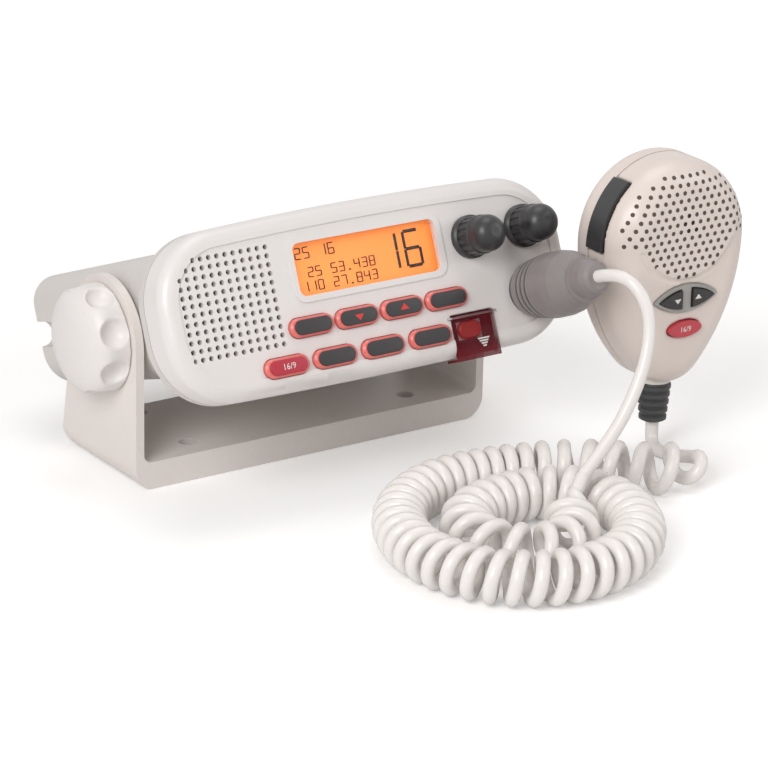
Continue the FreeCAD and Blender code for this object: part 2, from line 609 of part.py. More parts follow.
def ptt_sector(r0, r1, from_deg, to_deg, y0, y1):
    """Curved bar that follows the microphone's left shoulder."""
    def p(r, deg):
        return vec(MIC_X + r * math.cos(math.radians(deg)), MIC_Y + y0, PTT_Z + r * math.sin(math.radians(deg)))

    mid = (from_deg + to_deg) / 2
    edges = [
        Part.Arc(p(r1, from_deg), p(r1, mid), p(r1, to_deg)).toShape(),
        Part.makeLine(p(r1, to_deg), p(r0, to_deg)),
        Part.Arc(p(r0, to_deg), p(r0, mid), p(r0, from_deg)).toShape(),
        Part.makeLine(p(r0, from_deg), p(r1, from_deg)),
    ]
    return Part.Face(Part.Wire(edges)).extrude(vec(0, y1 - y0, 0))


def lens(x, z, w, h, y0, y1):
    """Lens-shaped block with two pointed ends, as the channel keys and their surround have."""
    edges = [
        Part.Arc(vec(x - w / 2, y0, z), vec(x, y0, z + h / 2), vec(x + w / 2, y0, z)).toShape(),
        Part.Arc(vec(x + w / 2, y0, z), vec(x, y0, z - h / 2), vec(x - w / 2, y0, z)).toShape(),
    ]
    return Part.Face(Part.Wire(edges)).extrude(vec(0, y1 - y0, 0))


def oval(x, z, w, h, y0, y1):
    disc = Part.Ellipse(vec(0, 0, 0), w / 2, h / 2).toShape()
    face = Part.Face(Part.Wire([disc]))
    face.rotate(vec(0, 0, 0), vec(1, 0, 0), 90)
    face.translate(vec(x, y0, z))
    return face.extrude(vec(0, y1 - y0, 0))


def make_mic_front():
    front = MIC_Y + MIC_FRONT
    block = mic_prism(0, MIC_FRONT, MIC_SPLIT)
    body = block.makeFillet(MIC_ROUND, front_edges(block, front))
    body = body.cut(mic_prism(MIC_WALL, MIC_FRONT + MIC_WALL + 5, MIC_SPLIT + 1))
    body = body.cut(mic_prism(MIC_WALL + 5, MIC_FRONT + MIC_WALL, MIC_SPLIT + 1))
    groove = Part.makeTorus(CREASE_R, 1.3, vec(MIC_X, front - 0.45, CREASE_Z), vec(0, 1, 0))
    tools = [ptt_sector(20.0, 33.0, 128.0, 182.0, -5.3, MIC_SPLIT + 1)]
    tools.append(groove.common(box(MIC_X - 40, MIC_X + 40, front - 3, front + 3, 40, CREASE_Z - 9)))
    tools.append(lens(MIC_X, MIC_KEYS_Z, 28.4, 10.4, front - 1, front + 1.2))
    tools += [mic_key_window(1), mic_key_window(-1)]
    tools.append(oval(MIC_X, MIC_RED_Z, 15.0, 6.4, front - 1, front + 8))
    tools.append(cyl_z(MIC_X, MIC_Y, 5.6, 20, 36))
    return body.cut(Part.makeCompound(tools)).removeSplitter()


def make_mic_rear():
    back = MIC_Y + MIC_BACK
    block = mic_prism(0, MIC_SPLIT + 0.2, MIC_BACK)
    body = block.makeFillet(7.0, front_edges(block, back))
    body = body.cut(mic_prism(MIC_WALL, MIC_SPLIT - 1, MIC_BACK - MIC_WALL - 5))
    body = body.cut(mic_prism(MIC_WALL + 5, MIC_SPLIT - 1, MIC_BACK - MIC_WALL))
    body = body.cut(cyl_y(MIC_X, PTT_Z, 2.2, back - 5, back + 1))
    body = body.cut(cyl_z(MIC_X, MIC_Y, 5.6, 20, 36))
    for x, z in MIC_SCREWS:
        body = body.cut(cyl_y(MIC_X + x, z, 2.6, back - 1.6, back + 1))
        body = body.cut(cyl_y(MIC_X + x, z, 1.4, back - 9, back + 1))
    return body.removeSplitter()


def make_mic_screws():
    back = MIC_Y + MIC_BACK
    screws = []
    for x, z in MIC_SCREWS:
        head = cyl_y(MIC_X + x, z, 2.4, back - 1.6, back - 0.2).cut(cyl_y(MIC_X + x, z, 1.0, back - 0.9, back + 1))
        screws.append(head.fuse(cyl_y(MIC_X + x, z, 1.3, back - 8.0, back - 1.4)))
    return Part.makeCompound(screws)


def make_hang_button():
    back = MIC_Y + MIC_BACK
    outline = [(back - 4, 2.1), (back, 2.1), (back, 4.2), (back + 1.0, 4.2), (back + 1.0, 3.2),
               (back + 4.0, 3.2), (back + 4.0, 7.0), (back + 5.4, 7.0), (back + 6.2, 6.2)]
    return turned_y(MIC_X, PTT_Z, outline)


def make_mic_surround():
    front = MIC_Y + MIC_FRONT
    pad = lens(MIC_X, MIC_KEYS_Z, 28.0, 10.0, front - 0.8, front + 1.2)
    return pad.cut(mic_key_window(1)).cut(mic_key_window(-1))


def mic_key_half(side, w, h, inner_x, y0, y1):
    """One half of the lens: a channel key or the window that it moves in."""
    x0, x1 = (inner_x, 20.0) if side > 0 else (-20.0, -inner_x)
    blank = lens(MIC_X, MIC_KEYS_Z, w, h, y0, y1)
    return blank.common(box(MIC_X + x0, MIC_X + x1, y0 - 1, y1 + 1, MIC_KEYS_Z - 10, MIC_KEYS_Z + 10))


def mic_key_window(side):
    return mic_key_half(side, 24.8, 7.8, 2.0, MIC_Y + MIC_FRONT - 2, MIC_Y + MIC_FRONT + 8)


def make_mic_key(side):
    return mic_key_half(side, 24.0, 7.0, 2.4, MIC_Y + MIC_FRONT - 1.8, MIC_Y + MIC_FRONT + 4.0)


def make_mic_red_key():
    front = MIC_Y + MIC_FRONT
    return oval(MIC_X, MIC_RED_Z, 14.4, 5.8, front - 1.2, front + 3.6)


def make_ptt():
    return ptt_sector(26.4, 31.2, 130.0, 180.0, -5.0, 3.1)


def make_mic_collar():
    ring = cyl_z(MIC_X, MIC_Y, 5.2, 26.6, 34.0)
    lip = cyl_z(MIC_X, MIC_Y, 5.9, 26.6, 28.4)
    return ring.fuse(lip).cut(cyl_z(MIC_X, MIC_Y, 3.3, 20, 40))


def make_strain_relief():
    """Ribbed rubber sleeve, tapering towards the cord."""
    outline = []
    top, low = 26.6, 11.6
    ribs = 5
    step = (top - low) / ribs
    for i in range(ribs):
        z = low + i * step
        r = 4.3 + 0.28 * i
        outline += [(z, r), (z + 0.45, r + 0.75), (z + step - 1.35, r + 0.75), (z + step - 0.9, r)]
    outline.append((top, 5.0))
    points = [vec(MIC_X, MIC_Y, low)] + [vec(MIC_X + r, MIC_Y, z) for z, r in outline] + [vec(MIC_X, MIC_Y, top)]
    points.append(points[0])
    sleeve = Part.Face(Part.makePolygon(points)).revolve(vec(MIC_X, MIC_Y, 0), vec(0, 0, 1), 360)
    return sleeve.fuse(cyl_z(MIC_X, MIC_Y, 3.2, top - 1, 33.5))


def make_mic_board():
    return mic_prism(9.0, 0.5, 2.0).common(box(0, 200, -200, 0, 44, 96))


def make_mic_element():
    return cyl_y(MIC_X, PTT_Z, 5.0, MIC_Y - 12.4, MIC_Y - 6.0)


# Cord: a plain lead from the plug, a curly stretch wound into a loose double ring, and a short tail

def fillet_route(points):
    """Straight runs joined by tangent arcs, each as large as its two runs allow."""
    pts = [vec(*q) for q in points]
    edges = []
    radii = []
    last = pts[0]
    for before, corner, after in zip(pts, pts[1:], pts[2:]):
        a = before - corner
        b = after - corner
        turn = math.pi - a.getAngle(b)
        cut = 0.45 * min(a.Length, b.Length)
        radii.append(cut / math.tan(turn / 2))
        p0 = corner + a.normalize() * cut
        p1 = corner + b.normalize() * cut
        mid = (p0 + p1) * 0.5
        half = (p1 - p0).Length / 2
        out = corner - mid
        sag = half * math.tan(turn / 4)
        m = mid + out.normalize() * sag
        edges.append(Part.makeLine(last, p0))
        edges.append(Part.Arc(p0, m, p1).toShape())
        last = p1
    edges.append(Part.makeLine(last, pts[-1]))
    return Part.Wire(edges), radii


def tube(points, r, name):
    path, radii = fillet_route(points)
    start = vec(*points[0])
    heading = vec(*points[1]) - start
    circle = Part.Wire([Part.Circle(start, heading, r).toShape()])
    solid = path.makePipeShell([circle], True, False)
    want = math.pi * r * r * path.Length
    print(name, "radii", [round(q, 1) for q in radii], "length", round(path.Length, 1),
          "volume ratio", round(solid.Volume / want, 4))
    return solid


def on_coil(right, depth, z):
    """Point given from the coil's centre, to the viewer's right and away from the viewer."""
    return (COIL_X + 0.8293 * right + 0.5587 * depth, COIL_Y - 0.5587 * right + 0.8293 * depth, z)


def plug_tip():
    t = math.radians(TILT_DEG)
    y = PANEL_Y + PLUG_Z * math.sin(t) - PLUG_LEN * math.cos(t)
    z = PANEL_Z + PLUG_Z * math.cos(t) + PLUG_LEN * math.sin(t)
    return PLUG_X, y, z


def along_plug(distance):
    t = math.radians(TILT_DEG)
    x, y, z = plug_tip()
    return x, y - distance * math.cos(t), z + distance * math.sin(t)


def make_lead():
    points = [along_plug(0), along_plug(9.0), (66.5, -121.5, 81.0), (69.0, -127.5, 72.0), (66.5, -131.0, 59.0),
              (59.0, -134.0, 46.0), (49.5, -135.5, 33.0), on_coil(*LEAD_END)]
    return tube(points, CORD_R, "cord_lead")


# The curly stretch: its middle line is a double ring on the floor, and the wire winds round that line


def ease(t):
    t = min(max(t, 0.0), 1.0)
    return t * t * (3 - 2 * t)


def coil_route():
    """Middle line of the curls, in the coil's own axes: in from the lead, round twice, then out to the tail."""
    route = [LEAD_END, (17.2, 13.0, 15.0), (15.5, 5.0, 10.5)]
    angle = -15.0
    while angle > RING_TO - 1:
        r = RING_INNER + (RING_OUTER - RING_INNER) * ease((SPREAD_FROM - angle) / (SPREAD_FROM - SPREAD_TO))
        r -= 1.2 * ease((angle + 75.0) / 60.0)
        r += RING_GROWTH * ease((SPREAD_TO - angle) / (SPREAD_TO - RING_TO))
        a = math.radians(angle)
        route.append((r * math.cos(a), r * RING_OVAL * math.sin(a), SPINE_Z))
        angle -= 30.0
    route += [(11.0, 55.0, SPINE_Z), (25.0, 57.0, SPINE_Z), (39.0, 55.0, SPINE_Z), (52.0, 54.5, SPINE_Z),
              (62.0, 60.0, SPINE_Z), (65.5, 70.0, SPINE_Z - 1.0), (62.0, 79.0, 5.0), (56.5, 85.5, 2.6),
              (52.8, 89.0, 2.4), (51.2, 92.0, 2.4)]
    return [vec(*on_coil(*q)) for q in route]


def spine_samples(step=0.5):
    """Points and distances along the quadratic spline that has the route as its control points."""
    poles = coil_route()
    spans = len(poles) - 2
    curve = Part.BSplineCurve()
    curve.buildFromPolesMultsKnots(poles, [3] + [1] * (spans - 1) + [3], [float(i) for i in range(spans + 1)], False, 2)
    edge = curve.toShape()
    count = int(edge.Length / step) + 1
    return edge.discretize(Number=count), edge.Length


def make_coil():
    points, total = spine_samples()
    step = total / (len(points) - 1)
    wire_r = CURL_R - CORD_R

    def centre(s):
        i = min(max(int(s / step), 0), len(points) - 2)
        return points[i] + (points[i + 1] - points[i]) * (s / step - i)

    def heading(s):
        return (centre(min(s + 1.5, total)) - centre(max(s - 1.5, 0))).normalize()

    def bend_radius(s):
        turn = heading(max(s - 4, 0)).getAngle(heading(min(s + 4, total)))
        return 8.0 / max(turn, 1e-3)

    def reach(s):
        return wire_r * ease((s - 4.5) / 14.0) * ease((total - 26.0 - s) / 22.0)

    def pitch(s):
        r = bend_radius(s)
        inner = max((r - wire_r) / r, 0.42)
        opened = 3.4 * ease((s - (total - 110.0)) / 40.0)
        return min((2 * CORD_R + 0.8) / inner / 0.985, 10.5) + opened

    def wire(s, turn):
        t = heading(s)
        side = t.cross(vec(0, 0, 1)).normalize()
        up = side.cross(t)
        r = reach(s)
        return centre(s) + side * (r * math.cos(turn)) + up * (r * math.sin(turn))

    stations = [(0.0, 0.0), (CORD_R * 2, 0.0)]
    s, turn = CORD_R * 2, 0.0
    while s < total - 28.0:
        ds = pitch(s) / 4
        s += ds
        turn += math.pi / 2
        stations.append((s, turn))
    curls = turn / (2 * math.pi)
    samples = []
    for (s0, a0), (s1, a1) in zip(stations, stations[1:]):
        ds = (s1 - s0) * 0.01
        da = (a1 - a0) * 0.01
        samples.append((wire(s0, a0), (wire(s0 + ds, a0 + da) - wire(s0, a0)).normalize()))
    s0, a0 = stations[-1]
    samples.append((wire(s0, a0), heading(s0)))
    samples.append((centre(total - 9.0), heading(total - 9.0)))
    samples.append((centre(total), heading(total)))
    samples[0] = (samples[0][0], (samples[1][0] - samples[0][0]).normalize())
    samples[1] = (samples[1][0], samples[0][1])
    edges = []
    trace = []
    for (p0, t0), (p1, t1) in zip(samples, samples[1:]):
        edges += biarc(p0, t0, p1, t1)
    path = Part.Wire(edges)
    for edge in edges:
        trace += edge.discretize(Number=max(int(edge.Length / 0.7), 3))[:-1]
    print("curls", round(curls, 1), "wire length", round(path.Length, 1), "spine", round(total, 1))
    print("least gap of the curls to themselves", round(least_gap(trace, 0.7), 2), "mm")
    print("lowest point", round(min(q.z for q in trace) - CORD_R, 2))
    profile = Part.Wire([Part.Circle(samples[0][0], samples[0][1], CORD_R).toShape()])
    solid = path.makePipeShell([profile], True, False)
    print("coil volume ratio", round(solid.Volume / (math.pi * CORD_R ** 2 * path.Length), 4))
    return solid


def biarc(p0, t0, p1, t1):
    """Two tangent arcs from p0 along t0 to p1 along t1."""
    v = p1 - p0
    if t0.getAngle(v) < 1e-4 and t1.getAngle(v) < 1e-4:
        return [Part.makeLine(p0, p1)]
    t = t0 + t1
    k = 2 * (1 - t0.dot(t1))
    if k < 1e-9:
        d = v.dot(v) / (4 * v.dot(t1))
    else:
        d = (-v.dot(t) + math.sqrt(v.dot(t) ** 2 + k * v.dot(v))) / k
    middle = (p0 + p1 + (t0 - t1) * d) * 0.5
    return [tangent_arc(p0, p0 + t0 * d, middle), tangent_arc(middle, p1 - t1 * d, p1)]


def tangent_arc(a, corner, b):
    chord = (a + b) * 0.5
    out = corner - chord
    half = (b - a).Length / 2
    if out.Length < 1e-5:
        return Part.makeLine(a, b)
    lean = math.atan2(out.Length, half)
    return Part.Arc(a, chord + out.normalize() * (half * math.tan(lean / 2)), b).toShape()


def least_gap(trace, spacing):
    """Smallest clear distance between two parts of the tube that lie more than a third of a curl apart."""
    cell = 7.0
    cells = {}
    for i, q in enumerate(trace):
        cells.setdefault((int(q.x // cell), int(q.y // cell), int(q.z // cell)), []).append(i)
    apart = int(16.0 / spacing)
    least = 99.0
    for (cx, cy, cz), inside in cells.items():
        near = []
        for dx in (-1, 0, 1):
            for dy in (-1, 0, 1):
                for dz in (-1, 0, 1):
                    near += cells.get((cx + dx, cy + dy, cz + dz), [])
        for i in inside:
            q = trace[i]
            for j in near:
                if j - i > apart:
                    least = min(least, q.distanceToPoint(trace[j]))
    return least - 2 * CORD_R


def make_tail():
    points = [on_coil(51.2, 92.0, 2.4), on_coil(50.4, 95.6, 2.4), on_coil(50.1, 98.4, 4.4), (MIC_X, MIC_Y, 7.6),
              (MIC_X, MIC_Y, 11.6)]
    return tube(points, CORD_R, "cord_tail")


os.makedirs("parts", exist_ok=True)

if __name__ == "__main__":
    save("mounting_bracket", make_bracket())
    for side, word in ((1, "right"), (-1, "left")):
        save("gimbal_knob_" + word, make_gimbal_knob(side))
        save("gimbal_stud_" + word, make_gimbal_stud(side))
        save("gimbal_washer_" + word, make_gimbal_washer(side))
    save("front_bezel", tilted(make_bezel()))
    save("bezel_gasket", tilted(make_gasket()))
    save("rear_chassis", tilted(make_chassis()))
    save("pivot_inserts", tilted(make_inserts()))
    save("case_screws", tilted(make_case_screws()))
    save("antenna_socket", tilted(make_antenna_socket()))
    save("power_gland", tilted(make_power_inlet()))
    save("lcd_window", tilted(make_lcd_window()))
    save("lcd_module", tilted(make_lcd_module()))
    save("speaker", tilted(make_speaker()))
    save("front_board", tilted(make_front_board()))
    save("keypad_sheet", tilted(make_keypad()))
    save("main_board", tilted(make_main_board()))
    save("output_stage", tilted(make_power_block()))
    for name, x, z in key_places():
        save(name, tilted(make_key(x, z)))
    save("distress_button", tilted(make_distress_button()))
    save("distress_cover", tilted(make_distress_cover()))
    save("cover_pin", tilted(make_cover_pin()))
    for word, x, z in (("squelch", SQUELCH_X, SQUELCH_Z), ("volume", VOLUME_X, VOLUME_Z)):
        save(word + "_pot", tilted(make_pot(x, z)))
        save(word + "_shaft", tilted(make_shaft(x, z)))
        save(word + "_knob", tilted(make_knob(x, z)))
    save("mic_socket", tilted(make_socket()))
    save("mic_plug", tilted(make_plug()))
    save("mic_front_shell", make_mic_front())
    save("mic_rear_shell", make_mic_rear())
    save("mic_screws", make_mic_screws())
    save("mic_hang_button", make_hang_button())
    save("mic_key_surround", make_mic_surround())
    save("mic_key_down", make_mic_key(-1))
    save("mic_key_up", make_mic_key(1))
    save("mic_red_key", make_mic_red_key())
    save("ptt_bar", make_ptt())
    save("mic_collar", make_mic_collar())
    save("mic_strain_relief", make_strain_relief())
    save("mic_board", make_mic_board())
    save("mic_element", make_mic_element())
    save("cord_lead", make_lead())
    save("cord_coil", make_coil())
    save("cord_tail", make_tail())
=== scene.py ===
import bpy
import bmesh
import math
from mathutils import Matrix, Vector


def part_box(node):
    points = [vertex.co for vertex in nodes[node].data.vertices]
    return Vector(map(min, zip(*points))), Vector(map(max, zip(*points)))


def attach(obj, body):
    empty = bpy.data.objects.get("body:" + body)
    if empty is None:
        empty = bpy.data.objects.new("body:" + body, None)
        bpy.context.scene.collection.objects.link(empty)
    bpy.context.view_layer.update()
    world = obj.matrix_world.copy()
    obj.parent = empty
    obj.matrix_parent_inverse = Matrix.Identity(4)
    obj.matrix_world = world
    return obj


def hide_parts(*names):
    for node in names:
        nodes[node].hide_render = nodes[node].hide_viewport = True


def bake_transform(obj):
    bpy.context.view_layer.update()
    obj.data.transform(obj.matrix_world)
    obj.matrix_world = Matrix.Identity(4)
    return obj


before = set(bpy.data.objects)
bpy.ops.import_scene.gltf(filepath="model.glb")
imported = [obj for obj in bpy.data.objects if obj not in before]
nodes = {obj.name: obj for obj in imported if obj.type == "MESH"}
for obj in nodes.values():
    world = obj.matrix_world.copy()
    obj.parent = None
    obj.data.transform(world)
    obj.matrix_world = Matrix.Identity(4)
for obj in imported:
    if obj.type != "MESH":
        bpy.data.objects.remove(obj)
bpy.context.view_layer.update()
bpy.ops.object.select_all(action="DESELECT")

# Gimbal bracket
# One off-white moulding: a wide base with four screw holes and two upright arms that hold the radio by its
# sides. Injection-moulded plastic with a fine grain.


def moulded_grain():
    """Fine moulding grain with a slow mottle: a tone from 0 to 1 and a height, from Object coordinates."""
    group = bpy.data.node_groups.new("moulded grain", "ShaderNodeTree")
    for name, value in (("Grain size", 900.0), ("Mottle size", 22.0), ("Mottle", 0.35)):
        socket = group.interface.new_socket(name=name, in_out="INPUT", socket_type="NodeSocketFloat")
        socket.default_value = value
    group.interface.new_socket(name="Tone", in_out="OUTPUT", socket_type="NodeSocketFloat")
    group.interface.new_socket(name="Height", in_out="OUTPUT", socket_type="NodeSocketFloat")
    n, link = group.nodes, group.links
    inside, outside = n.new("NodeGroupInput"), n.new("NodeGroupOutput")
    place = n.new("ShaderNodeTexCoord")
    fine, slow = n.new("ShaderNodeTexNoise"), n.new("ShaderNodeTexNoise")
    fine.inputs["Detail"].default_value = 2.0
    slow.inputs["Detail"].default_value = 4.0
    scaled, total = n.new("ShaderNodeMath"), n.new("ShaderNodeMath")
    scaled.operation = "MULTIPLY"
    total.operation = "ADD"
    total.use_clamp = True
    tilt = n.new("ShaderNodeMath")
    tilt.operation = "MULTIPLY"
    tilt.inputs[1].default_value = 0.35
    link.new(place.outputs["Object"], fine.inputs["Vector"])
    link.new(place.outputs["Object"], slow.inputs["Vector"])
    link.new(inside.outputs["Grain size"], fine.inputs["Scale"])
    link.new(inside.outputs["Mottle size"], slow.inputs["Scale"])
    link.new(slow.outputs["Fac"], scaled.inputs[0])
    link.new(inside.outputs["Mottle"], scaled.inputs[1])
    link.new(fine.outputs["Fac"], tilt.inputs[0])
    link.new(scaled.outputs[0], total.inputs[0])
    link.new(tilt.outputs[0], total.inputs[1])
    link.new(total.outputs[0], outside.inputs["Tone"])
    link.new(fine.outputs["Fac"], outside.inputs["Height"])
    return group


GRAIN = moulded_grain()


def moulded(name, colour, deep, rough, grain=900.0, depth=0.05, mottle=0.35, coat=0.0):
    """Moulded plastic, rubber or paint: two close colours mixed by the grain's tone, its height as bump."""
    material = bpy.data.materials.new(name)
    material.use_nodes = True
    n, link = material.node_tree.nodes, material.node_tree.links
    shader = n["Principled BSDF"]
    skin, mix = n.new("ShaderNodeGroup"), n.new("ShaderNodeMix")
    matt, bump = n.new("ShaderNodeMapRange"), n.new("ShaderNodeBump")
    skin.node_tree = GRAIN
    skin.inputs["Grain size"].default_value = grain
    skin.inputs["Mottle"].default_value = mottle
    mix.data_type = "RGBA"
    mix.inputs["A"].default_value = (*colour, 1)
    mix.inputs["B"].default_value = (*deep, 1)
    matt.inputs["To Min"].default_value = rough - 0.06
    matt.inputs["To Max"].default_value = rough + 0.08
    bump.inputs["Strength"].default_value = depth
    bump.inputs["Distance"].default_value = 0.0002
    shader.inputs["Coat Weight"].default_value = coat
    shader.inputs["Coat Roughness"].default_value = 0.2
    link.new(skin.outputs["Tone"], mix.inputs["Factor"])
    link.new(mix.outputs["Result"], shader.inputs["Base Color"])
    link.new(skin.outputs["Tone"], matt.inputs["Value"])
    link.new(matt.outputs["Result"], shader.inputs["Roughness"])
    link.new(skin.outputs["Height"], bump.inputs["Height"])
    link.new(bump.outputs["Normal"], shader.inputs["Normal"])
    return material


def dress(material, *names):
    """Gives the named CAD nodes a material."""
    for name in names:
        data = nodes[name].data
        data.materials.clear()
        data.materials.append(material)


dress(moulded("bracket plastic", (0.84, 0.785, 0.755), (0.73, 0.67, 0.635), 0.42, depth=0.10),
      "mounting_bracket")
dress(moulded("washer rubber", (0.10, 0.10, 0.10), (0.05, 0.05, 0.05), 0.7),
      "gimbal_washer_left", "gimbal_washer_right")

# Gimbal knobs
# Two hand knobs of white plastic, domed and with eight finger scoops, each moulded round a steel stud that
# screws into the radio's side.

KNOB_PLASTIC = moulded("knob plastic", (0.84, 0.815, 0.80), (0.76, 0.72, 0.70), 0.38)
KNOB_RIM, DOME_STEPS, DOME_STEP_DEG, DOME_FULLNESS = 0.0065, 8, 10.5, 0.8
SCOOPS, SCOOP_R, SCOOP_OUT, SCOOP_RISE = 8, 0.0056, 0.0014, 0.0056
KNOB_VOXEL, KNOB_SMOOTHING = 0.00045, 8


def smooth_skin(piece, voxel, rounds):
    """Remeshes a piece finely and smooths it, so that its edges are as soft as a moulding's."""
    bpy.context.view_layer.objects.active = piece
    skin = piece.modifiers.new("skin", "REMESH")
    skin.mode = "VOXEL"
    skin.voxel_size = voxel
    skin.use_smooth_shade = True
    bpy.ops.object.modifier_apply(modifier=skin.name)
    soft = piece.modifiers.new("soft", "SMOOTH")
    soft.factor = 0.5
    soft.iterations = rounds
    bpy.ops.object.modifier_apply(modifier=soft.name)


def hand_knob(side):
    """Domed knob with eight finger scoops in its rim, modelled upright and turned onto the radio's side."""
    low, high = (Vector(corner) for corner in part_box("gimbal_knob_" + side))
    radius, thick = (high.z - low.z) / 2, high.x - low.x
    bpy.ops.mesh.primitive_cylinder_add(vertices=96, radius=radius, depth=KNOB_RIM,
                                        location=(0, 0, KNOB_RIM / 2))
    bpy.ops.object.transform_apply(location=True)
    knob = bpy.context.object
    knob.name = "hand_knob_" + side
    bpy.ops.object.mode_set(mode="EDIT")
    bpy.ops.mesh.select_mode(type="FACE")
    bpy.ops.mesh.select_all(action="DESELECT")
    bpy.ops.object.mode_set(mode="OBJECT")
    max(knob.data.polygons, key=lambda face: face.center.z).select = True
    bpy.ops.object.mode_set(mode="EDIT")
    last_r, last_z = radius, 0.0
    for step in range(1, DOME_STEPS + 1):
        a = math.radians(DOME_STEP_DEG * step)
        r, z = radius * math.cos(a) ** DOME_FULLNESS, (thick - KNOB_RIM) * math.sin(a)
        bpy.ops.mesh.inset(thickness=last_r - r)
        bpy.ops.transform.translate(value=(0, 0, z - last_z))
        last_r, last_z = r, z
    bpy.ops.object.mode_set(mode="OBJECT")
    for i in range(SCOOPS):
        a = math.radians(360 / SCOOPS * (i + 0.5))
        place = ((radius + SCOOP_OUT) * math.cos(a), (radius + SCOOP_OUT) * math.sin(a), SCOOP_RISE)
        bpy.ops.mesh.primitive_uv_sphere_add(segments=32, ring_count=16, radius=SCOOP_R, location=place)
        ball = bpy.context.object
        scoop = knob.modifiers.new("scoop", "BOOLEAN")
        scoop.object = ball
        scoop.operation = "DIFFERENCE"
        bpy.context.view_layer.objects.active = knob
        bpy.ops.object.modifier_apply(modifier=scoop.name)
        bpy.data.objects.remove(ball)
    smooth_skin(knob, KNOB_VOXEL, KNOB_SMOOTHING)
    outward, inner = (1, low.x) if side == "right" else (-1, high.x)
    turned = Matrix.Rotation(math.radians(90 * outward), 4, "Y")
    moved = Matrix.Translation((inner, (low.y + high.y) / 2, (low.z + high.z) / 2))
    knob.data.transform(moved @ turned)
    knob.data.materials.clear()
    knob.data.materials.append(KNOB_PLASTIC)
    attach(knob, "knob_" + side)
    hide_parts("gimbal_knob_" + side)
    bpy.ops.object.select_all(action="DESELECT")


for side in ("left", "right"):
    hand_knob(side)


def metal(name, colour, deep, rough, grain=1400.0, depth=0.03):
    """Bare metal with a faint brushed grain."""
    material = moulded(name, colour, deep, rough, grain=grain, depth=depth)
    material.node_tree.nodes["Principled BSDF"].inputs["Metallic"].default_value = 1.0
    return material


dress(metal("stud steel", (0.55, 0.55, 0.56), (0.42, 0.42, 0.43), 0.35, grain=900.0, depth=0.05),
      "gimbal_stud_left", "gimbal_stud_right")

# Front bezel and rear chassis
# The bezel is a shallow white moulding with a rounded rim and a speaker grille; behind it stands a casting
# painted in nearly the same white, held to it by four screws through its flange, with a dark gasket between.

dress(moulded("bezel plastic", (0.83, 0.80, 0.785), (0.755, 0.72, 0.705), 0.34, depth=0.04, coat=0.15),
      "front_bezel")
dress(moulded("casting paint", (0.71, 0.68, 0.655), (0.60, 0.57, 0.545), 0.45, grain=500.0, depth=0.12),
      "rear_chassis", "output_stage")
dress(moulded("gasket rubber", (0.06, 0.06, 0.06), (0.03, 0.03, 0.03), 0.65), "bezel_gasket")
dress(metal("screw steel", (0.62, 0.62, 0.63), (0.48, 0.48, 0.50), 0.3),
      "case_screws", "mic_screws", "cover_pin", "squelch_shaft", "volume_shaft")
dress(metal("plated brass", (0.72, 0.66, 0.50), (0.58, 0.50, 0.34), 0.3), "antenna_socket", "pivot_inserts")
dress(moulded("gland plastic", (0.12, 0.12, 0.12), (0.07, 0.07, 0.07), 0.5), "power_gland")

# Inner parts
# Loudspeaker, circuit boards, potentiometers, plug socket and microphone insert, each fastened behind the
# mouldings. Black paper and plastic, and green solder mask.

dress(moulded("speaker paper", (0.035, 0.033, 0.032), (0.02, 0.02, 0.02), 0.85, grain=600.0, depth=0.3),
      "speaker", "mic_element")
dress(moulded("solder mask", (0.03, 0.16, 0.09), (0.02, 0.10, 0.06), 0.4),
      "front_board", "main_board", "mic_board")
dress(moulded("potentiometer case", (0.10, 0.10, 0.11), (0.06, 0.06, 0.07), 0.5),
      "squelch_pot", "volume_pot", "mic_socket")

# Display
# A back-lit liquid crystal cell that glows orange behind a clear window, with plain seven-segment figures.

glow = bpy.data.materials.new("orange backlight")
glow.use_nodes = True
n, link = glow.node_tree.nodes, glow.node_tree.links
shader = n["Principled BSDF"]
place, fall, ramp = n.new("ShaderNodeTexCoord"), n.new("ShaderNodeTexNoise"), n.new("ShaderNodeMix")
fall.inputs["Scale"].default_value = 25.0
ramp.data_type = "RGBA"
ramp.inputs["A"].default_value = (0.93, 0.215, 0.035, 1)
ramp.inputs["B"].default_value = (0.96, 0.29, 0.065, 1)
link.new(place.outputs["Object"], fall.inputs["Vector"])
link.new(fall.outputs["Fac"], ramp.inputs["Factor"])
link.new(ramp.outputs["Result"], shader.inputs["Base Color"])
link.new(ramp.outputs["Result"], shader.inputs["Emission Color"])
shader.inputs["Emission Strength"].default_value = 0.42
shader.inputs["Roughness"].default_value = 0.5
dress(glow, "lcd_module")

clear = bpy.data.materials.new("clear window")
clear.use_nodes = True
shader = clear.node_tree.nodes["Principled BSDF"]
shader.inputs["Base Color"].default_value = (1, 1, 1, 1)
n, link = clear.node_tree.nodes, clear.node_tree.links
wipe, haze = n.new("ShaderNodeGroup"), n.new("ShaderNodeMapRange")
wipe.node_tree = GRAIN
haze.inputs["To Min"].default_value = 0.03
haze.inputs["To Max"].default_value = 0.12
link.new(wipe.outputs["Tone"], haze.inputs["Value"])
link.new(haze.outputs["Result"], shader.inputs["Roughness"])
shader.inputs["Transmission Weight"].default_value = 1.0
shader.inputs["IOR"].default_value = 1.1
dress(clear, "lcd_window")

PANEL_Y, PANEL_Z, TILT_DEG = -0.0612, 0.0735, 22.65
PANEL = Matrix.Translation((0, PANEL_Y, PANEL_Z)) @ Matrix.Rotation(math.radians(-TILT_DEG), 4, "X")


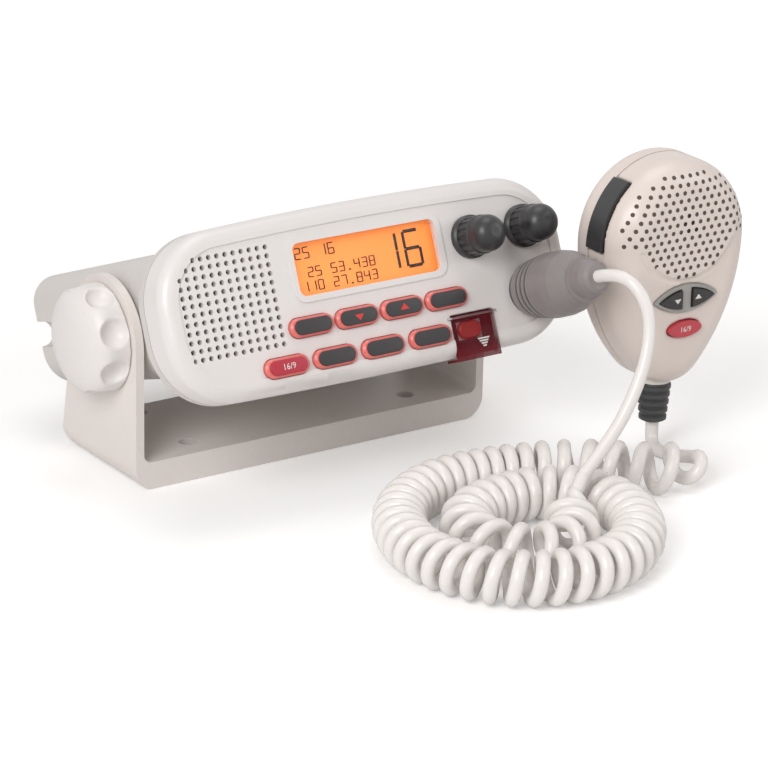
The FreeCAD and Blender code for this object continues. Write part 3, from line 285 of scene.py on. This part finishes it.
def settle(piece, body, material, panel=True):
    """Turns a piece drawn upright about the panel's centre onto the panel, and lets it ride on its body."""
    if panel:
        piece.data.transform(PANEL @ piece.matrix_world)
    else:
        piece.data.transform(piece.matrix_world)
    piece.matrix_world = Matrix()
    piece.data.materials.clear()
    piece.data.materials.append(material)
    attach(piece, body)
    bpy.ops.object.select_all(action="DESELECT")


SEGMENTS = {"0": "abcdef", "1": "bc", "2": "abged", "3": "abgcd", "4": "fgbc", "5": "afgcd", "6": "afgedc",
            "7": "abc", "8": "abcdefg", "9": "abcdfg", ".": "p", " ": ""}
BAR_X, BAR_Z, GAP = 0.12, 0.07, 0.02
BARS = {"a": (BAR_X, 1 - BAR_Z, 1 - BAR_X, 1.0), "d": (BAR_X, 0.0, 1 - BAR_X, BAR_Z),
        "g": (BAR_X, 0.5 - BAR_Z / 2, 1 - BAR_X, 0.5 + BAR_Z / 2), "b": (1 - BAR_X, 0.5 + GAP, 1.0, 0.95),
        "c": (1 - BAR_X, 0.05, 1.0, 0.5 - GAP), "f": (0.0, 0.5 + GAP, BAR_X, 0.95),
        "e": (0.0, 0.05, BAR_X, 0.5 - GAP), "p": (0.35, 0.0, 0.65, BAR_X)}
FIGURE_Y, FIGURE_THICK = 3.85, 0.1
SEGMENT_INK = moulded("display segments", (0.030, 0.016, 0.008), (0.045, 0.022, 0.010), 0.5)


def piece_of(name, bm):
    """Object made from a finished bmesh."""
    data = bpy.data.meshes.new(name)
    bm.to_mesh(data)
    bm.free()
    piece = bpy.data.objects.new(name, data)
    bpy.context.scene.collection.objects.link(piece)
    return piece


def figures(name, text, x, z, wide, high, step, fat):
    """Seven-segment figures as small plates just in front of the display cell; fat widens their bars."""
    bm = bmesh.new()
    for i, sign in enumerate(text):
        for bar in SEGMENTS[sign]:
            x0, z0, x1, z1 = BARS[bar]
            grow_x, grow_z = (fat - 1) * BAR_X * wide / 2, (fat - 1) * BAR_Z * high / 2
            left, right = x + i * step + x0 * wide - grow_x, x + i * step + x1 * wide + grow_x
            low, top = z + z0 * high - grow_z, z + z1 * high + grow_z
            corners = [bm.verts.new(Vector((px, FIGURE_Y, pz)) / 1000)
                       for px, pz in ((left, low), (right, low), (right, top), (left, top))]
            bm.faces.new(corners)
    shape = bmesh.ops.extrude_face_region(bm, geom=bm.faces[:])
    backs = [v for v in shape["geom"] if isinstance(v, bmesh.types.BMVert)]
    bmesh.ops.translate(bm, verts=backs, vec=(0, FIGURE_THICK / 1000, 0))
    bmesh.ops.recalc_face_normals(bm, faces=bm.faces[:])
    settle(piece_of(name, bm), "chassis", SEGMENT_INK)


figures("figures_channel", "16", x=8.2, z=3.8, wide=7.0, high=13.2, step=9.6, fat=1.3)
figures("figures_upper", "25 53.438", x=-22.4, z=7.0, wide=2.3, high=3.5, step=3.15, fat=1.5)
figures("figures_lower", "110 27.843", x=-25.5, z=2.2, wide=2.3, high=3.5, step=3.15, fat=1.5)
figures("figures_top", "25 16", x=-26.4, z=13.6, wide=2.5, high=4.0, step=3.4, fat=1.5)

# Panel keys
# Eight pill-shaped keys of one translucent red keypad mat; each stands through its slot in the bezel and
# carries a black cap, red on the lower left key, bare or printed with an arrow or plain figures.

MAT = moulded("pink keypad rubber", (0.84, 0.23, 0.20), (0.66, 0.09, 0.09), 0.30, mottle=0.2)
shader = MAT.node_tree.nodes["Principled BSDF"]
shader.inputs["Subsurface Weight"].default_value = 0.25
shader.inputs["Subsurface Scale"].default_value = 0.002
dress(MAT, "keypad_sheet")
CAP = moulded("black key cap", (0.035, 0.030, 0.032), (0.020, 0.018, 0.020), 0.33, depth=0.03)
RED_CAP = moulded("red key cap", (0.52, 0.028, 0.055), (0.40, 0.018, 0.040), 0.3, depth=0.03)
PRINT = moulded("white print", (0.80, 0.78, 0.76), (0.72, 0.70, 0.68), 0.5)
RED_PRINT = moulded("red print", (0.75, 0.05, 0.04), (0.60, 0.03, 0.03), 0.5)


def pill_cap(name, x, z, wide, high, y_front, thick, round_mm):
    """Pill-shaped cap: a flat cylinder whose halves are drawn apart, with its front edge rounded."""
    bpy.ops.mesh.primitive_cylinder_add(vertices=40, radius=high / 2000, depth=thick / 1000,
                                        location=(x / 1000, (y_front + thick / 2) / 1000, z / 1000),
                                        rotation=(math.radians(90), 0, 0))
    piece = bpy.context.object
    piece.name = name
    bm = bmesh.new()
    bm.from_mesh(piece.data)
    reach = (wide - high) / 2000
    for v in bm.verts:
        v.co.x += reach if v.co.x > 0 else -reach
    front = [e for e in bm.edges if all(v.co.z > 0 for v in e.verts)]
    bmesh.ops.bevel(bm, geom=front, offset=round_mm / 1000, segments=4, profile=0.6, affect="EDGES")
    bm.to_mesh(piece.data)
    bm.free()
    for face in piece.data.polygons:
        face.use_smooth = True
    return piece


UPPER_Z, LOWER_Z = -9.3, -21.2
KEY_PLACES = {"key_upper_%d" % (i + 1): (x, UPPER_Z) for i, x in enumerate((-27.4, -8.8, 9.8, 28.5))}
KEY_PLACES.update({"key_lower_%d" % (i + 1): (x, LOWER_Z) for i, x in enumerate((-40.1, -20.5, -0.8, 18.9))})
CAP_W, CAP_H, CAP_FRONT, CAP_THICK, CAP_ROUND = 14.8, 5.2, -1.95, 0.5, 0.3
for name, (x, z) in KEY_PLACES.items():
    dress(MAT, name)
    cap = pill_cap("cap_" + name, x, z, CAP_W, CAP_H, CAP_FRONT, CAP_THICK, CAP_ROUND)
    settle(cap, name, RED_CAP if name == "key_lower_1" else CAP)

PRINT_FRONT, PRINT_THICK = CAP_FRONT - 0.01, 0.1
ARROW_SIZE, ARROW_WIDE, ARROW_TALL = 1.9, 1.1, 0.75


def arrow(name, x, z, size, up, body, material, y_front, panel=True):
    """Small printed triangle lying on a cap, its point up or down."""
    bpy.ops.mesh.primitive_cylinder_add(vertices=3, radius=size / 1000, depth=PRINT_THICK / 1000,
                                        location=(x / 1000, y_front / 1000, z / 1000),
                                        rotation=(math.radians(90), 0, 0))
    piece = bpy.context.object
    piece.name = name
    point = 1 if up else -1
    piece.data.transform(Matrix.Diagonal((ARROW_WIDE, ARROW_TALL * point, 1, 1)))
    if not up:
        piece.data.flip_normals()
    settle(piece, body, material, panel)


arrow("arrow_down", *KEY_PLACES["key_upper_2"], ARROW_SIZE, False, "key_upper_2", RED_PRINT, PRINT_FRONT)
arrow("arrow_up", *KEY_PLACES["key_upper_3"], ARROW_SIZE, True, "key_upper_3", RED_PRINT, PRINT_FRONT)


def printed(name, text, x, z, size, y_front, body, material, panel=True):
    """Flat printed figures, made a thin mesh."""
    bpy.ops.object.text_add(location=(x / 1000, y_front / 1000, z / 1000),
                            rotation=(math.radians(90), 0, 0))
    piece = bpy.context.object
    piece.name = name
    piece.data.body = text
    piece.data.size = size / 1000
    piece.data.align_x = "CENTER"
    piece.data.align_y = "CENTER"
    piece.data.extrude = 0.00003
    piece.data.resolution_u = 3
    bpy.ops.object.convert(target="MESH")
    settle(bpy.context.object, body, material, panel)


printed("print_16_9", "16/9", -40.1, LOWER_Z - 0.1, 3.0, PRINT_FRONT - 0.01, "key_lower_1", PRINT)

# Distress key
# A bright red key under a clear dark-red flap, hinged along its top on a steel pin and wrapped round the
# panel's lower edge. Behind the flap lies a dark red bed round the key, and four white bars are printed on
# the flap.

dress(moulded("distress red", (1.0, 0.085, 0.065), (0.95, 0.060, 0.050), 0.3), "distress_button")
flap = moulded("clear red flap", (0.200, 0.006, 0.016), (0.130, 0.003, 0.010), 0.14, grain=300.0, depth=0.02)
n, link = flap.node_tree.nodes, flap.node_tree.links
shader = n["Principled BSDF"]
shader.inputs["Specular IOR Level"].default_value = 0.25
place, parts, depth = n.new("ShaderNodeTexCoord"), n.new("ShaderNodeSeparateXYZ"), n.new("ShaderNodeMapRange")
depth.inputs["From Min"].default_value = 0.0465
depth.inputs["From Max"].default_value = 0.0500
depth.inputs["To Min"].default_value = 0.72
depth.inputs["To Max"].default_value = 0.32
link.new(place.outputs["Object"], parts.inputs["Vector"])
link.new(parts.outputs["Z"], depth.inputs["Value"])
link.new(depth.outputs["Result"], shader.inputs["Alpha"])
dress(flap, "distress_cover")

BED_LEFT, BED_RIGHT, BED_LOW, BED_TOP, BED_Y, BED_THICK = 29.2, 46.5, -30.3, -15.5, 1.83, 0.1
HOLE_LEFT, HOLE_RIGHT, HOLE_LOW, HOLE_TOP = 31.5, 41.7, -24.7, -18.2
STRIPS = ((BED_LEFT, BED_RIGHT, HOLE_TOP, BED_TOP), (BED_LEFT, BED_RIGHT, BED_LOW, HOLE_LOW),
          (BED_LEFT, HOLE_LEFT, HOLE_LOW, HOLE_TOP), (HOLE_RIGHT, BED_RIGHT, HOLE_LOW, HOLE_TOP))
bm = bmesh.new()
for x0, x1, z0, z1 in STRIPS:
    strip = bmesh.ops.create_cube(bm, size=0.001)
    middle = Vector(((x0 + x1) / 2, BED_Y, (z0 + z1) / 2)) / 1000
    for v in strip["verts"]:
        v.co = Vector((v.co.x * (x1 - x0), v.co.y * BED_THICK, v.co.z * (z1 - z0))) + middle
settle(piece_of("flap_bed", bm), "chassis",
       moulded("flap bed", (0.070, 0.006, 0.012), (0.040, 0.003, 0.008), 0.5))

STRIPE_X, STRIPE_Y, STRIPE_TALL, STRIPE_THICK = 40.1, -0.92, 0.55, 0.12
STRIPE_FLARE, STRIPE_TAPER = 0.55, -0.15
for i, (half, z) in enumerate(((2.3, -25.2), (1.7, -26.1), (1.15, -27.0), (0.6, -27.9))):
    bpy.ops.mesh.primitive_cube_add(size=0.001, location=(STRIPE_X / 1000, STRIPE_Y / 1000, z / 1000))
    stripe = bpy.context.object
    stripe.name = "flap_stripe_%d" % (i + 1)
    for v in stripe.data.vertices:
        v.co.x *= 2 * half + (STRIPE_FLARE if v.co.z > 0 else STRIPE_TAPER)
        v.co.y *= STRIPE_THICK
        v.co.z *= STRIPE_TALL
    settle(stripe, "distress_flap", PRINT)

# Rotary knobs
# Two ribbed knobs of black plastic, each pushed onto the flatted shaft of its potentiometer.

dress(moulded("knob black", (0.034, 0.033, 0.035), (0.018, 0.018, 0.019), 0.36, grain=700.0, depth=0.15),
      "squelch_knob", "volume_knob")

# Microphone plug
# A grey rubber boot moulded over the plug that screws onto the socket in the panel. A dark ring of painted
# shade lies at the bottom of each of its three grip grooves.

dress(moulded("grey boot rubber", (0.290, 0.262, 0.262), (0.215, 0.192, 0.192), 0.45, depth=0.1), "mic_plug")
SHADE = moulded("groove shade", (0.060, 0.055, 0.056), (0.035, 0.032, 0.033), 0.6)
PLUG_X, PLUG_Z, PLUG_LEN = 64.0, -12.0, 42.0
GROOVE_FROM, GROOVE_FROM_R, GROOVE_FLARE, GROOVE_RING = -6.0, 10.0, 0.13, 0.42
# Each ring is painted shade at the bottom of one groove, darker than the boot.
for i, y in enumerate((-6.6, -9.8, -13.0)):
    ring_r = GROOVE_FROM_R - GROOVE_FLARE * (y - GROOVE_FROM)
    bpy.ops.mesh.primitive_torus_add(major_radius=ring_r / 1000, minor_radius=GROOVE_RING / 1000,
                                     major_segments=72, minor_segments=10, rotation=(math.radians(90), 0, 0),
                                     location=Vector((PLUG_X, y, PLUG_Z)) / 1000)
    ring = bpy.context.object
    ring.name = "boot_groove_shade_%d" % (i + 1)
    for face in ring.data.polygons:
        face.use_smooth = True
    settle(ring, "chassis", SHADE)

# Fist microphone
# Two cream shells screwed together, with a talk bar at the left, a raised grille of small holes, keys and a
# dark strain relief at the lower end. The moulded holes are blind, apart from five open ones in the middle.

CREAM = moulded("microphone plastic", (0.82, 0.735, 0.685), (0.74, 0.645, 0.590), 0.33, depth=0.05)
dress(CREAM, "mic_rear_shell")
dress(moulded("collar plastic", (0.82, 0.79, 0.74), (0.74, 0.70, 0.65), 0.4), "mic_collar")
dress(moulded("talk bar rubber", (0.045, 0.045, 0.047), (0.025, 0.025, 0.027), 0.4), "ptt_bar")
dress(moulded("key surround plastic", (0.42, 0.41, 0.39), (0.34, 0.33, 0.31), 0.45), "mic_key_surround")
dress(moulded("arrow key rubber", (0.040, 0.038, 0.038), (0.022, 0.021, 0.021), 0.4),
      "mic_key_down", "mic_key_up")
dress(moulded("microphone red key", (0.62, 0.07, 0.09), (0.50, 0.04, 0.06), 0.35), "mic_red_key")
dress(moulded("relief rubber", (0.075, 0.075, 0.078), (0.045, 0.045, 0.047), 0.55), "mic_strain_relief")
dress(metal("hanger steel", (0.66, 0.66, 0.67), (0.52, 0.52, 0.54), 0.25), "mic_hang_button")
MIC_X, MIC_VOXEL, MIC_SMOOTHING, FACING_Y = 107.0, 0.0005, 5, -0.3
DOME_Z, DOME_R, DOME_RISE, DOME_EDGE, DOME_FADE_Z, DOME_FADE = 91.0, 25.0, 1.1, 4.0, 103.0, 14.0


def ease(t):
    """Smooth step from 0 to 1."""
    t = min(max(t, 0.0), 1.0)
    return t * t * (3 - 2 * t)


bm = bmesh.new()
bm.from_mesh(nodes["mic_front_shell"].data)
bmesh.ops.remove_doubles(bm, verts=bm.verts, dist=0.00001)
front = piece_of("mic_front", bm)
smooth_skin(front, MIC_VOXEL, MIC_SMOOTHING)
facing = [v for v in front.data.vertices if v.normal.y < FACING_Y]
for v in facing:
    away = math.hypot(v.co.x * 1000 - MIC_X, v.co.z * 1000 - DOME_Z)
    raised = ease((DOME_R - away) / DOME_EDGE) * ease((DOME_FADE_Z - v.co.z * 1000) / DOME_FADE)
    v.co.y -= DOME_RISE / 1000 * raised
front.data.materials.clear()
front.data.materials.append(CREAM)
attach(front, "base")
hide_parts("mic_front_shell")
bpy.context.view_layer.update()

DOT_R, DOT_STEP, DOT_ROW_STEP, DOT_LIFT, ROWS, COLUMNS = 0.82, 3.4, 2.75, 0.03, 15, 18
FIRST_X, FIRST_Z, IN_FRONT_Y, STEEPEST = MIC_X - 28.0, 70.6, -120.0, -0.45
EGG_Z, EGG_R, EGG_WIDE = 81.0, 27.4, 1.06
LOWER_R, UPPER_R, UPPER_FROM_Z = 21.2, 27.5, 83.0
OPEN_Z, OPEN_R, ALL_R = 89.0, 3.9, 99.0


def grille_dots(name, material, nearest, furthest):
    """Painted shade dots for the grille's small holes between two distances from the open ones in its middle.
    """
    bm = bmesh.new()
    for row in range(ROWS):
        z = FIRST_Z + row * DOT_ROW_STEP
        for col in range(COLUMNS):
            x = FIRST_X + col * DOT_STEP + (DOT_STEP / 2 if row % 2 else 0.0)
            start = Vector((x, IN_FRONT_Y, z)) / 1000
            hit, spot, normal, _ = front.ray_cast(start, Vector((0, 1, 0)))
            in_egg = math.hypot((x - MIC_X) / EGG_WIDE, z - EGG_Z) < EGG_R and normal.y < STEEPEST
            away = math.hypot(x - MIC_X, z - DOME_Z)
            on_dome = away < LOWER_R or (z > UPPER_FROM_Z and away < UPPER_R)
            if hit and in_egg and on_dome and nearest <= math.hypot(x - MIC_X, z - OPEN_Z) < furthest:
                turn = Vector((0, 0, 1)).rotation_difference(normal).to_matrix().to_4x4()
                place = Matrix.Translation(spot + normal * DOT_LIFT / 1000) @ turn
                bmesh.ops.create_circle(bm, cap_ends=True, segments=12, radius=DOT_R / 1000, matrix=place)
    settle(piece_of(name, bm), "base", material, panel=False)


# Both kinds of dot are painted shade: brown-grey for the blind holes, nearly black for the five open ones.
grille_dots("mic_grille", moulded("shaded hole", (0.115, 0.085, 0.072), (0.060, 0.044, 0.038), 0.8),
            OPEN_R, ALL_R)
grille_dots("mic_grille_open", moulded("open hole shade", (0.014, 0.012, 0.011), (0.007, 0.006, 0.006), 0.8),
            0.0, OPEN_R)

MIC_KEYS_Z, MIC_RED_Z, MIC_ARROW_X, MIC_ARROW_SIZE = 62.0, 50.5, 4.6, 1.5
MIC_ARROW_FRONT, MIC_PRINT_FRONT = -101.53, -100.93
arrow("mic_arrow_down", MIC_X - MIC_ARROW_X, MIC_KEYS_Z, MIC_ARROW_SIZE, False, "mic_down_key", PRINT,
      MIC_ARROW_FRONT, panel=False)
arrow("mic_arrow_up", MIC_X + MIC_ARROW_X, MIC_KEYS_Z, MIC_ARROW_SIZE, True, "mic_up_key", PRINT,
      MIC_ARROW_FRONT, panel=False)
printed("mic_print_16_9", "16/9", MIC_X, MIC_RED_Z, 2.8, MIC_PRINT_FRONT, "mic_call_key", PRINT, panel=False)

# Curly cord
# White rubber-covered cord: a plain lead from the plug, a long stretch of curls laid in a double ring on the
# table, and a short tail into the microphone's strain relief.

CORD_R, CURL_R, CURL_WIRE_R = 0.00225, 0.0095, 0.00245
CORD = moulded("cord rubber", (0.90, 0.87, 0.845), (0.83, 0.79, 0.76), 0.26, grain=500.0, depth=0.06,
               mottle=0.25)
COIL_X, COIL_Y, VIEW_COS, VIEW_SIN = 10.0, -139.0, 0.8293, 0.5587
LEAD_END = (20.5, 18.0, 21.0)
RING_INNER, RING_OUTER, RING_OVAL, RING_GROWTH = 19.6, 39.8, 1.12, 4.0
RING_FROM, SPREAD_FROM, SPREAD_TO, RING_TO, RING_STEP = -15.0, -235.0, -335.0, -630.0, 30.0
TUCK, TUCK_FROM, TUCK_RAMP = 1.2, -75.0, 60.0
SPINE_Z = 9.65
LEAD_STEPS, SPINE_STEPS, COIL_STEPS = 12, 16, 3
LEAD_STRAIGHT = 9.0


def on_coil(right, depth, z):
    """Point given from the coil's centre, to the viewer's right and away from the viewer, in metres."""
    x = COIL_X + VIEW_COS * right + VIEW_SIN * depth
    y = COIL_Y - VIEW_SIN * right + VIEW_COS * depth
    return Vector((x, y, z)) / 1000


def route_curve(name, points, bevel, steps):
    """Smooth cord line: a NURBS spline with the route's points as its control points."""
    data = bpy.data.curves.new(name, "CURVE")
    data.dimensions = "3D"
    spline = data.splines.new("NURBS")
    spline.points.add(len(points) - 1)
    for slot, point in zip(spline.points, points):
        slot.co = (*point, 1)
    spline.order_u = 3
    spline.use_endpoint_u = True
    spline.resolution_u = steps
    data.resolution_u = steps
    data.bevel_depth = bevel
    data.bevel_resolution = 4
    piece = bpy.data.objects.new(name, data)
    bpy.context.scene.collection.objects.link(piece)
    return piece


def line_of(points, steps):
    """The points that the smooth line itself runs through."""
    scratch = route_curve("scratch_line", points, 0.0, steps)
    bpy.context.view_layer.update()
    mesh = bpy.data.meshes.new_from_object(scratch)
    line = [v.co.copy() for v in mesh.vertices]
    bpy.data.objects.remove(scratch)
    bpy.data.meshes.remove(mesh)
    return line


def plug_point(distance):
    """Point on the plug's axis, so far in front of its tip."""
    return PANEL @ (Vector((PLUG_X, -PLUG_LEN - distance, PLUG_Z)) / 1000)


LEAD_POINTS = ((66.5, -121.5, 81.0), (69.0, -127.5, 72.0), (66.5, -131.0, 59.0), (59.0, -134.0, 46.0),
               (49.5, -135.5, 33.0))
lead_route = [plug_point(0), plug_point(LEAD_STRAIGHT)]
lead_route += [Vector(point) / 1000 for point in LEAD_POINTS]
lead_route.append(on_coil(*LEAD_END))
lead = route_curve("lead", lead_route, CORD_R, LEAD_STEPS)
bpy.ops.object.select_all(action="DESELECT")
lead.select_set(True)
bpy.context.view_layer.objects.active = lead
bpy.ops.object.convert(target="MESH")
lead = bpy.context.object
lead.data.materials.append(CORD)
for face in lead.data.polygons:
    face.use_smooth = True
bpy.ops.object.select_all(action="DESELECT")
lead_line = line_of(lead_route, LEAD_STEPS)
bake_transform(lead)
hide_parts("cord_lead")

route = [LEAD_END, (17.2, 13.0, 15.0), (15.5, 5.0, 10.5)]
angle = RING_FROM
while angle >= RING_TO:
    r = RING_INNER + (RING_OUTER - RING_INNER) * ease((SPREAD_FROM - angle) / (SPREAD_FROM - SPREAD_TO))
    r -= TUCK * ease((angle - TUCK_FROM) / TUCK_RAMP)
    r += RING_GROWTH * ease((SPREAD_TO - angle) / (SPREAD_TO - RING_TO))
    a = math.radians(angle)
    route.append((r * math.cos(a), r * RING_OVAL * math.sin(a), SPINE_Z))
    angle -= RING_STEP
route += [(11.0, 55.0, SPINE_Z), (25.0, 57.0, SPINE_Z), (39.0, 55.0, SPINE_Z), (52.0, 54.5, SPINE_Z),
          (62.0, 60.0, SPINE_Z), (65.5, 70.0, SPINE_Z - 1.0), (62.0, 79.0, 5.0), (56.5, 85.5, 2.6),
          (52.8, 89.0, 2.4), (51.2, 92.0, 2.4)]
spine = line_of([on_coil(*p) for p in route], SPINE_STEPS)
reached = [0.0]
for a, b in zip(spine, spine[1:]):
    reached.append(reached[-1] + (b - a).length * 1000)
total = reached[-1]
NEAR = 1.5


def centre(s):
    """Point on the coil's middle line at s millimetres."""
    s = min(max(s, 0.0), total - 1e-6)
    low, high = 0, len(reached) - 1
    while high - low > 1:
        mid = (low + high) // 2
        if reached[mid] <= s:
            low = mid
        else:
            high = mid
    part = (s - reached[low]) / (reached[high] - reached[low])
    return spine[low].lerp(spine[high], part)


def heading(s):
    """Direction of the coil's middle line at s millimetres."""
    return (centre(min(s + NEAR, total)) - centre(max(s - NEAR, 0))).normalized()


PER_CURL, BEND_HALF, LEAST_INNER, WIDEST_PITCH, CURL_GAP, SLOPE = 12, 4.0, 0.42, 10.5, 0.8, 0.985
OPEN_START, OPEN_END, START_FROM, START_TO, END_FROM, END_RAMP = 7.0, 3.4, 6.0, 20.0, 110.0, 40.0
GROW_RAMP, SHRINK_RAMP, COIL_STOP, CORNER_CUT = 14.0, 22.0, 26.0, 0.966


def pitch(s):
    """Advance of one curl: just over the wire on the inside of a bend, and opened towards both ends."""
    turn = heading(max(s - BEND_HALF, 0)).angle(heading(min(s + BEND_HALF, total)))
    r = 2 * BEND_HALF / max(turn, 1e-3)
    wire_r = (CURL_R - CORD_R) * 1000
    inner = max((r - wire_r) / r, LEAST_INNER)
    opened = OPEN_START * (1 - ease((s - START_FROM) / (START_TO - START_FROM)))
    opened += OPEN_END * ease((s - (total - END_FROM)) / END_RAMP)
    return min((CORD_R * 2000 + CURL_GAP) / inner / SLOPE, WIDEST_PITCH) + opened


curl_points = [centre(0.0), centre(2.0)]
curls_from = CORD_R * 2000
s, turn = curls_from, 0.0
while s < total - COIL_STOP - 0.5:
    t = heading(s)
    side = t.cross(Vector((0, 0, 1))).normalized()
    up = side.cross(t)
    grown = ease((s - curls_from) / GROW_RAMP) * ease((total - COIL_STOP - s) / SHRINK_RAMP)
    out = (CURL_R - CURL_WIRE_R) / CORNER_CUT * grown
    curl_points.append(centre(s) + side * (out * math.cos(turn)) + up * (out * math.sin(turn)))
    s += pitch(s) / PER_CURL
    turn += 2 * math.pi / PER_CURL

RELIEF_Y = -84.7
tail_route = [on_coil(50.4, 95.6, 2.4), on_coil(50.1, 98.4, 4.4), Vector((MIC_X, RELIEF_Y, 7.6)) / 1000,
              Vector((MIC_X, RELIEF_Y, 11.6)) / 1000]
curl_points += [centre(total - 18), centre(total - 9), centre(total)] + tail_route
coil = route_curve("curly_cord", curl_points, CURL_WIRE_R, COIL_STEPS)
coil.data.materials.append(CORD)
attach(coil, "base")
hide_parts("cord_coil", "cord_tail")


coil_line = line_of(curl_points, COIL_STEPS)

# Floor, light and camera
# A pale floor and backdrop seen as white, a large soft lamp at the left, weaker ones at the right and above,
# and the camera at the photograph's place.

FLOOR_SIZE, FLOOR_Z = 14.0, -0.0001
bpy.ops.mesh.primitive_plane_add(size=FLOOR_SIZE, location=(0, 0, FLOOR_Z))
floor = bpy.context.object
floor.name = "floor"
paper = bpy.data.materials.new("floor paper")
paper.use_nodes = True
n, link = paper.node_tree.nodes, paper.node_tree.links
shader = n["Principled BSDF"]
shader.inputs["Base Color"].default_value = (0.93, 0.93, 0.93, 1)
shader.inputs["Roughness"].default_value = 0.7
shader.inputs["Specular IOR Level"].default_value = 0.2
haze, bright = n.new("ShaderNodeEmission"), n.new("ShaderNodeAddShader")
lift, look = n.new("ShaderNodeMath"), n.new("ShaderNodeLightPath")
lift.operation = "MULTIPLY"
where, away, rise = n.new("ShaderNodeTexCoord"), n.new("ShaderNodeVectorMath"), n.new("ShaderNodeMapRange")
away.operation = "LENGTH"
rise.inputs["From Min"].default_value = 0.12
rise.inputs["From Max"].default_value = 1.1
rise.inputs["To Min"].default_value = 0.24
rise.inputs["To Max"].default_value = 0.85
link.new(where.outputs["Object"], away.inputs[0])
link.new(away.outputs["Value"], rise.inputs["Value"])
link.new(rise.outputs["Result"], lift.inputs[1])
link.new(look.outputs["Is Camera Ray"], lift.inputs[0])
link.new(lift.outputs[0], haze.inputs["Strength"])
link.new(shader.outputs[0], bright.inputs[0])
link.new(haze.outputs[0], bright.inputs[1])
link.new(bright.outputs[0], n["Material Output"].inputs["Surface"])
floor.data.materials.append(paper)
bpy.ops.object.select_all(action="DESELECT")

world = bpy.data.worlds.new("studio")
bpy.context.scene.world = world
world.use_nodes = True
n, link = world.node_tree.nodes, world.node_tree.links
n.clear()
out, mix, path = n.new("ShaderNodeOutputWorld"), n.new("ShaderNodeMixShader"), n.new("ShaderNodeLightPath")
plain, white = n.new("ShaderNodeBackground"), n.new("ShaderNodeBackground")
plain.inputs["Color"].default_value = (1.0, 0.945, 0.91, 1)
plain.inputs["Strength"].default_value = 0.31
white.inputs["Color"].default_value = (1, 1, 1, 1)
white.inputs["Strength"].default_value = 1.0
seen, all_seen = n.new("ShaderNodeMath"), n.new("ShaderNodeMath")
for sum_of in (seen, all_seen):
    sum_of.operation = "ADD"
    sum_of.use_clamp = True
link.new(path.outputs["Is Camera Ray"], seen.inputs[0])
link.new(path.outputs["Is Glossy Ray"], seen.inputs[1])
link.new(seen.outputs[0], all_seen.inputs[0])
link.new(path.outputs["Is Transmission Ray"], all_seen.inputs[1])
link.new(all_seen.outputs[0], mix.inputs["Fac"])
link.new(plain.outputs[0], mix.inputs[1])
link.new(white.outputs[0], mix.inputs[2])
link.new(mix.outputs[0], out.inputs["Surface"])

AIM = Vector((0.02, -0.06, 0.05))
LAMPS = (("key lamp", (-1.15, -0.75, 0.95), 14.5, 0.8), ("side lamp", (1.1, -0.9, 0.7), 3.2, 0.7),
         ("top lamp", (0.2, 0.1, 1.5), 5.5, 0.9))
for name, place, power, size in LAMPS:
    lamp = bpy.data.lights.new(name, "AREA")
    lamp.energy = power
    lamp.size = size
    stand = bpy.data.objects.new(name, lamp)
    stand.location = place
    stand.rotation_euler = (AIM - Vector(place)).to_track_quat("-Z", "Y").to_euler()
    bpy.context.scene.collection.objects.link(stand)

CAMERA_PLACE = Matrix(((0.8292, 0.1768, -0.5303, -0.6602), (-0.5586, 0.2977, -0.7742, -1.0331),
                       (0.0210, 0.9382, 0.3456, 0.4703), (0, 0, 0, 1)))
LENS_MM, SENSOR_MM, NEAREST = 168.9, 36.0, 0.05
lens = bpy.data.cameras.new("camera")
lens.lens = LENS_MM
lens.sensor_width = SENSOR_MM
lens.clip_start = NEAREST
camera = bpy.data.objects.new("camera", lens)
bpy.context.scene.collection.objects.link(camera)
camera.matrix_world = CAMERA_PLACE
bpy.context.scene.camera = camera
bpy.context.scene.view_settings.view_transform = "Standard"
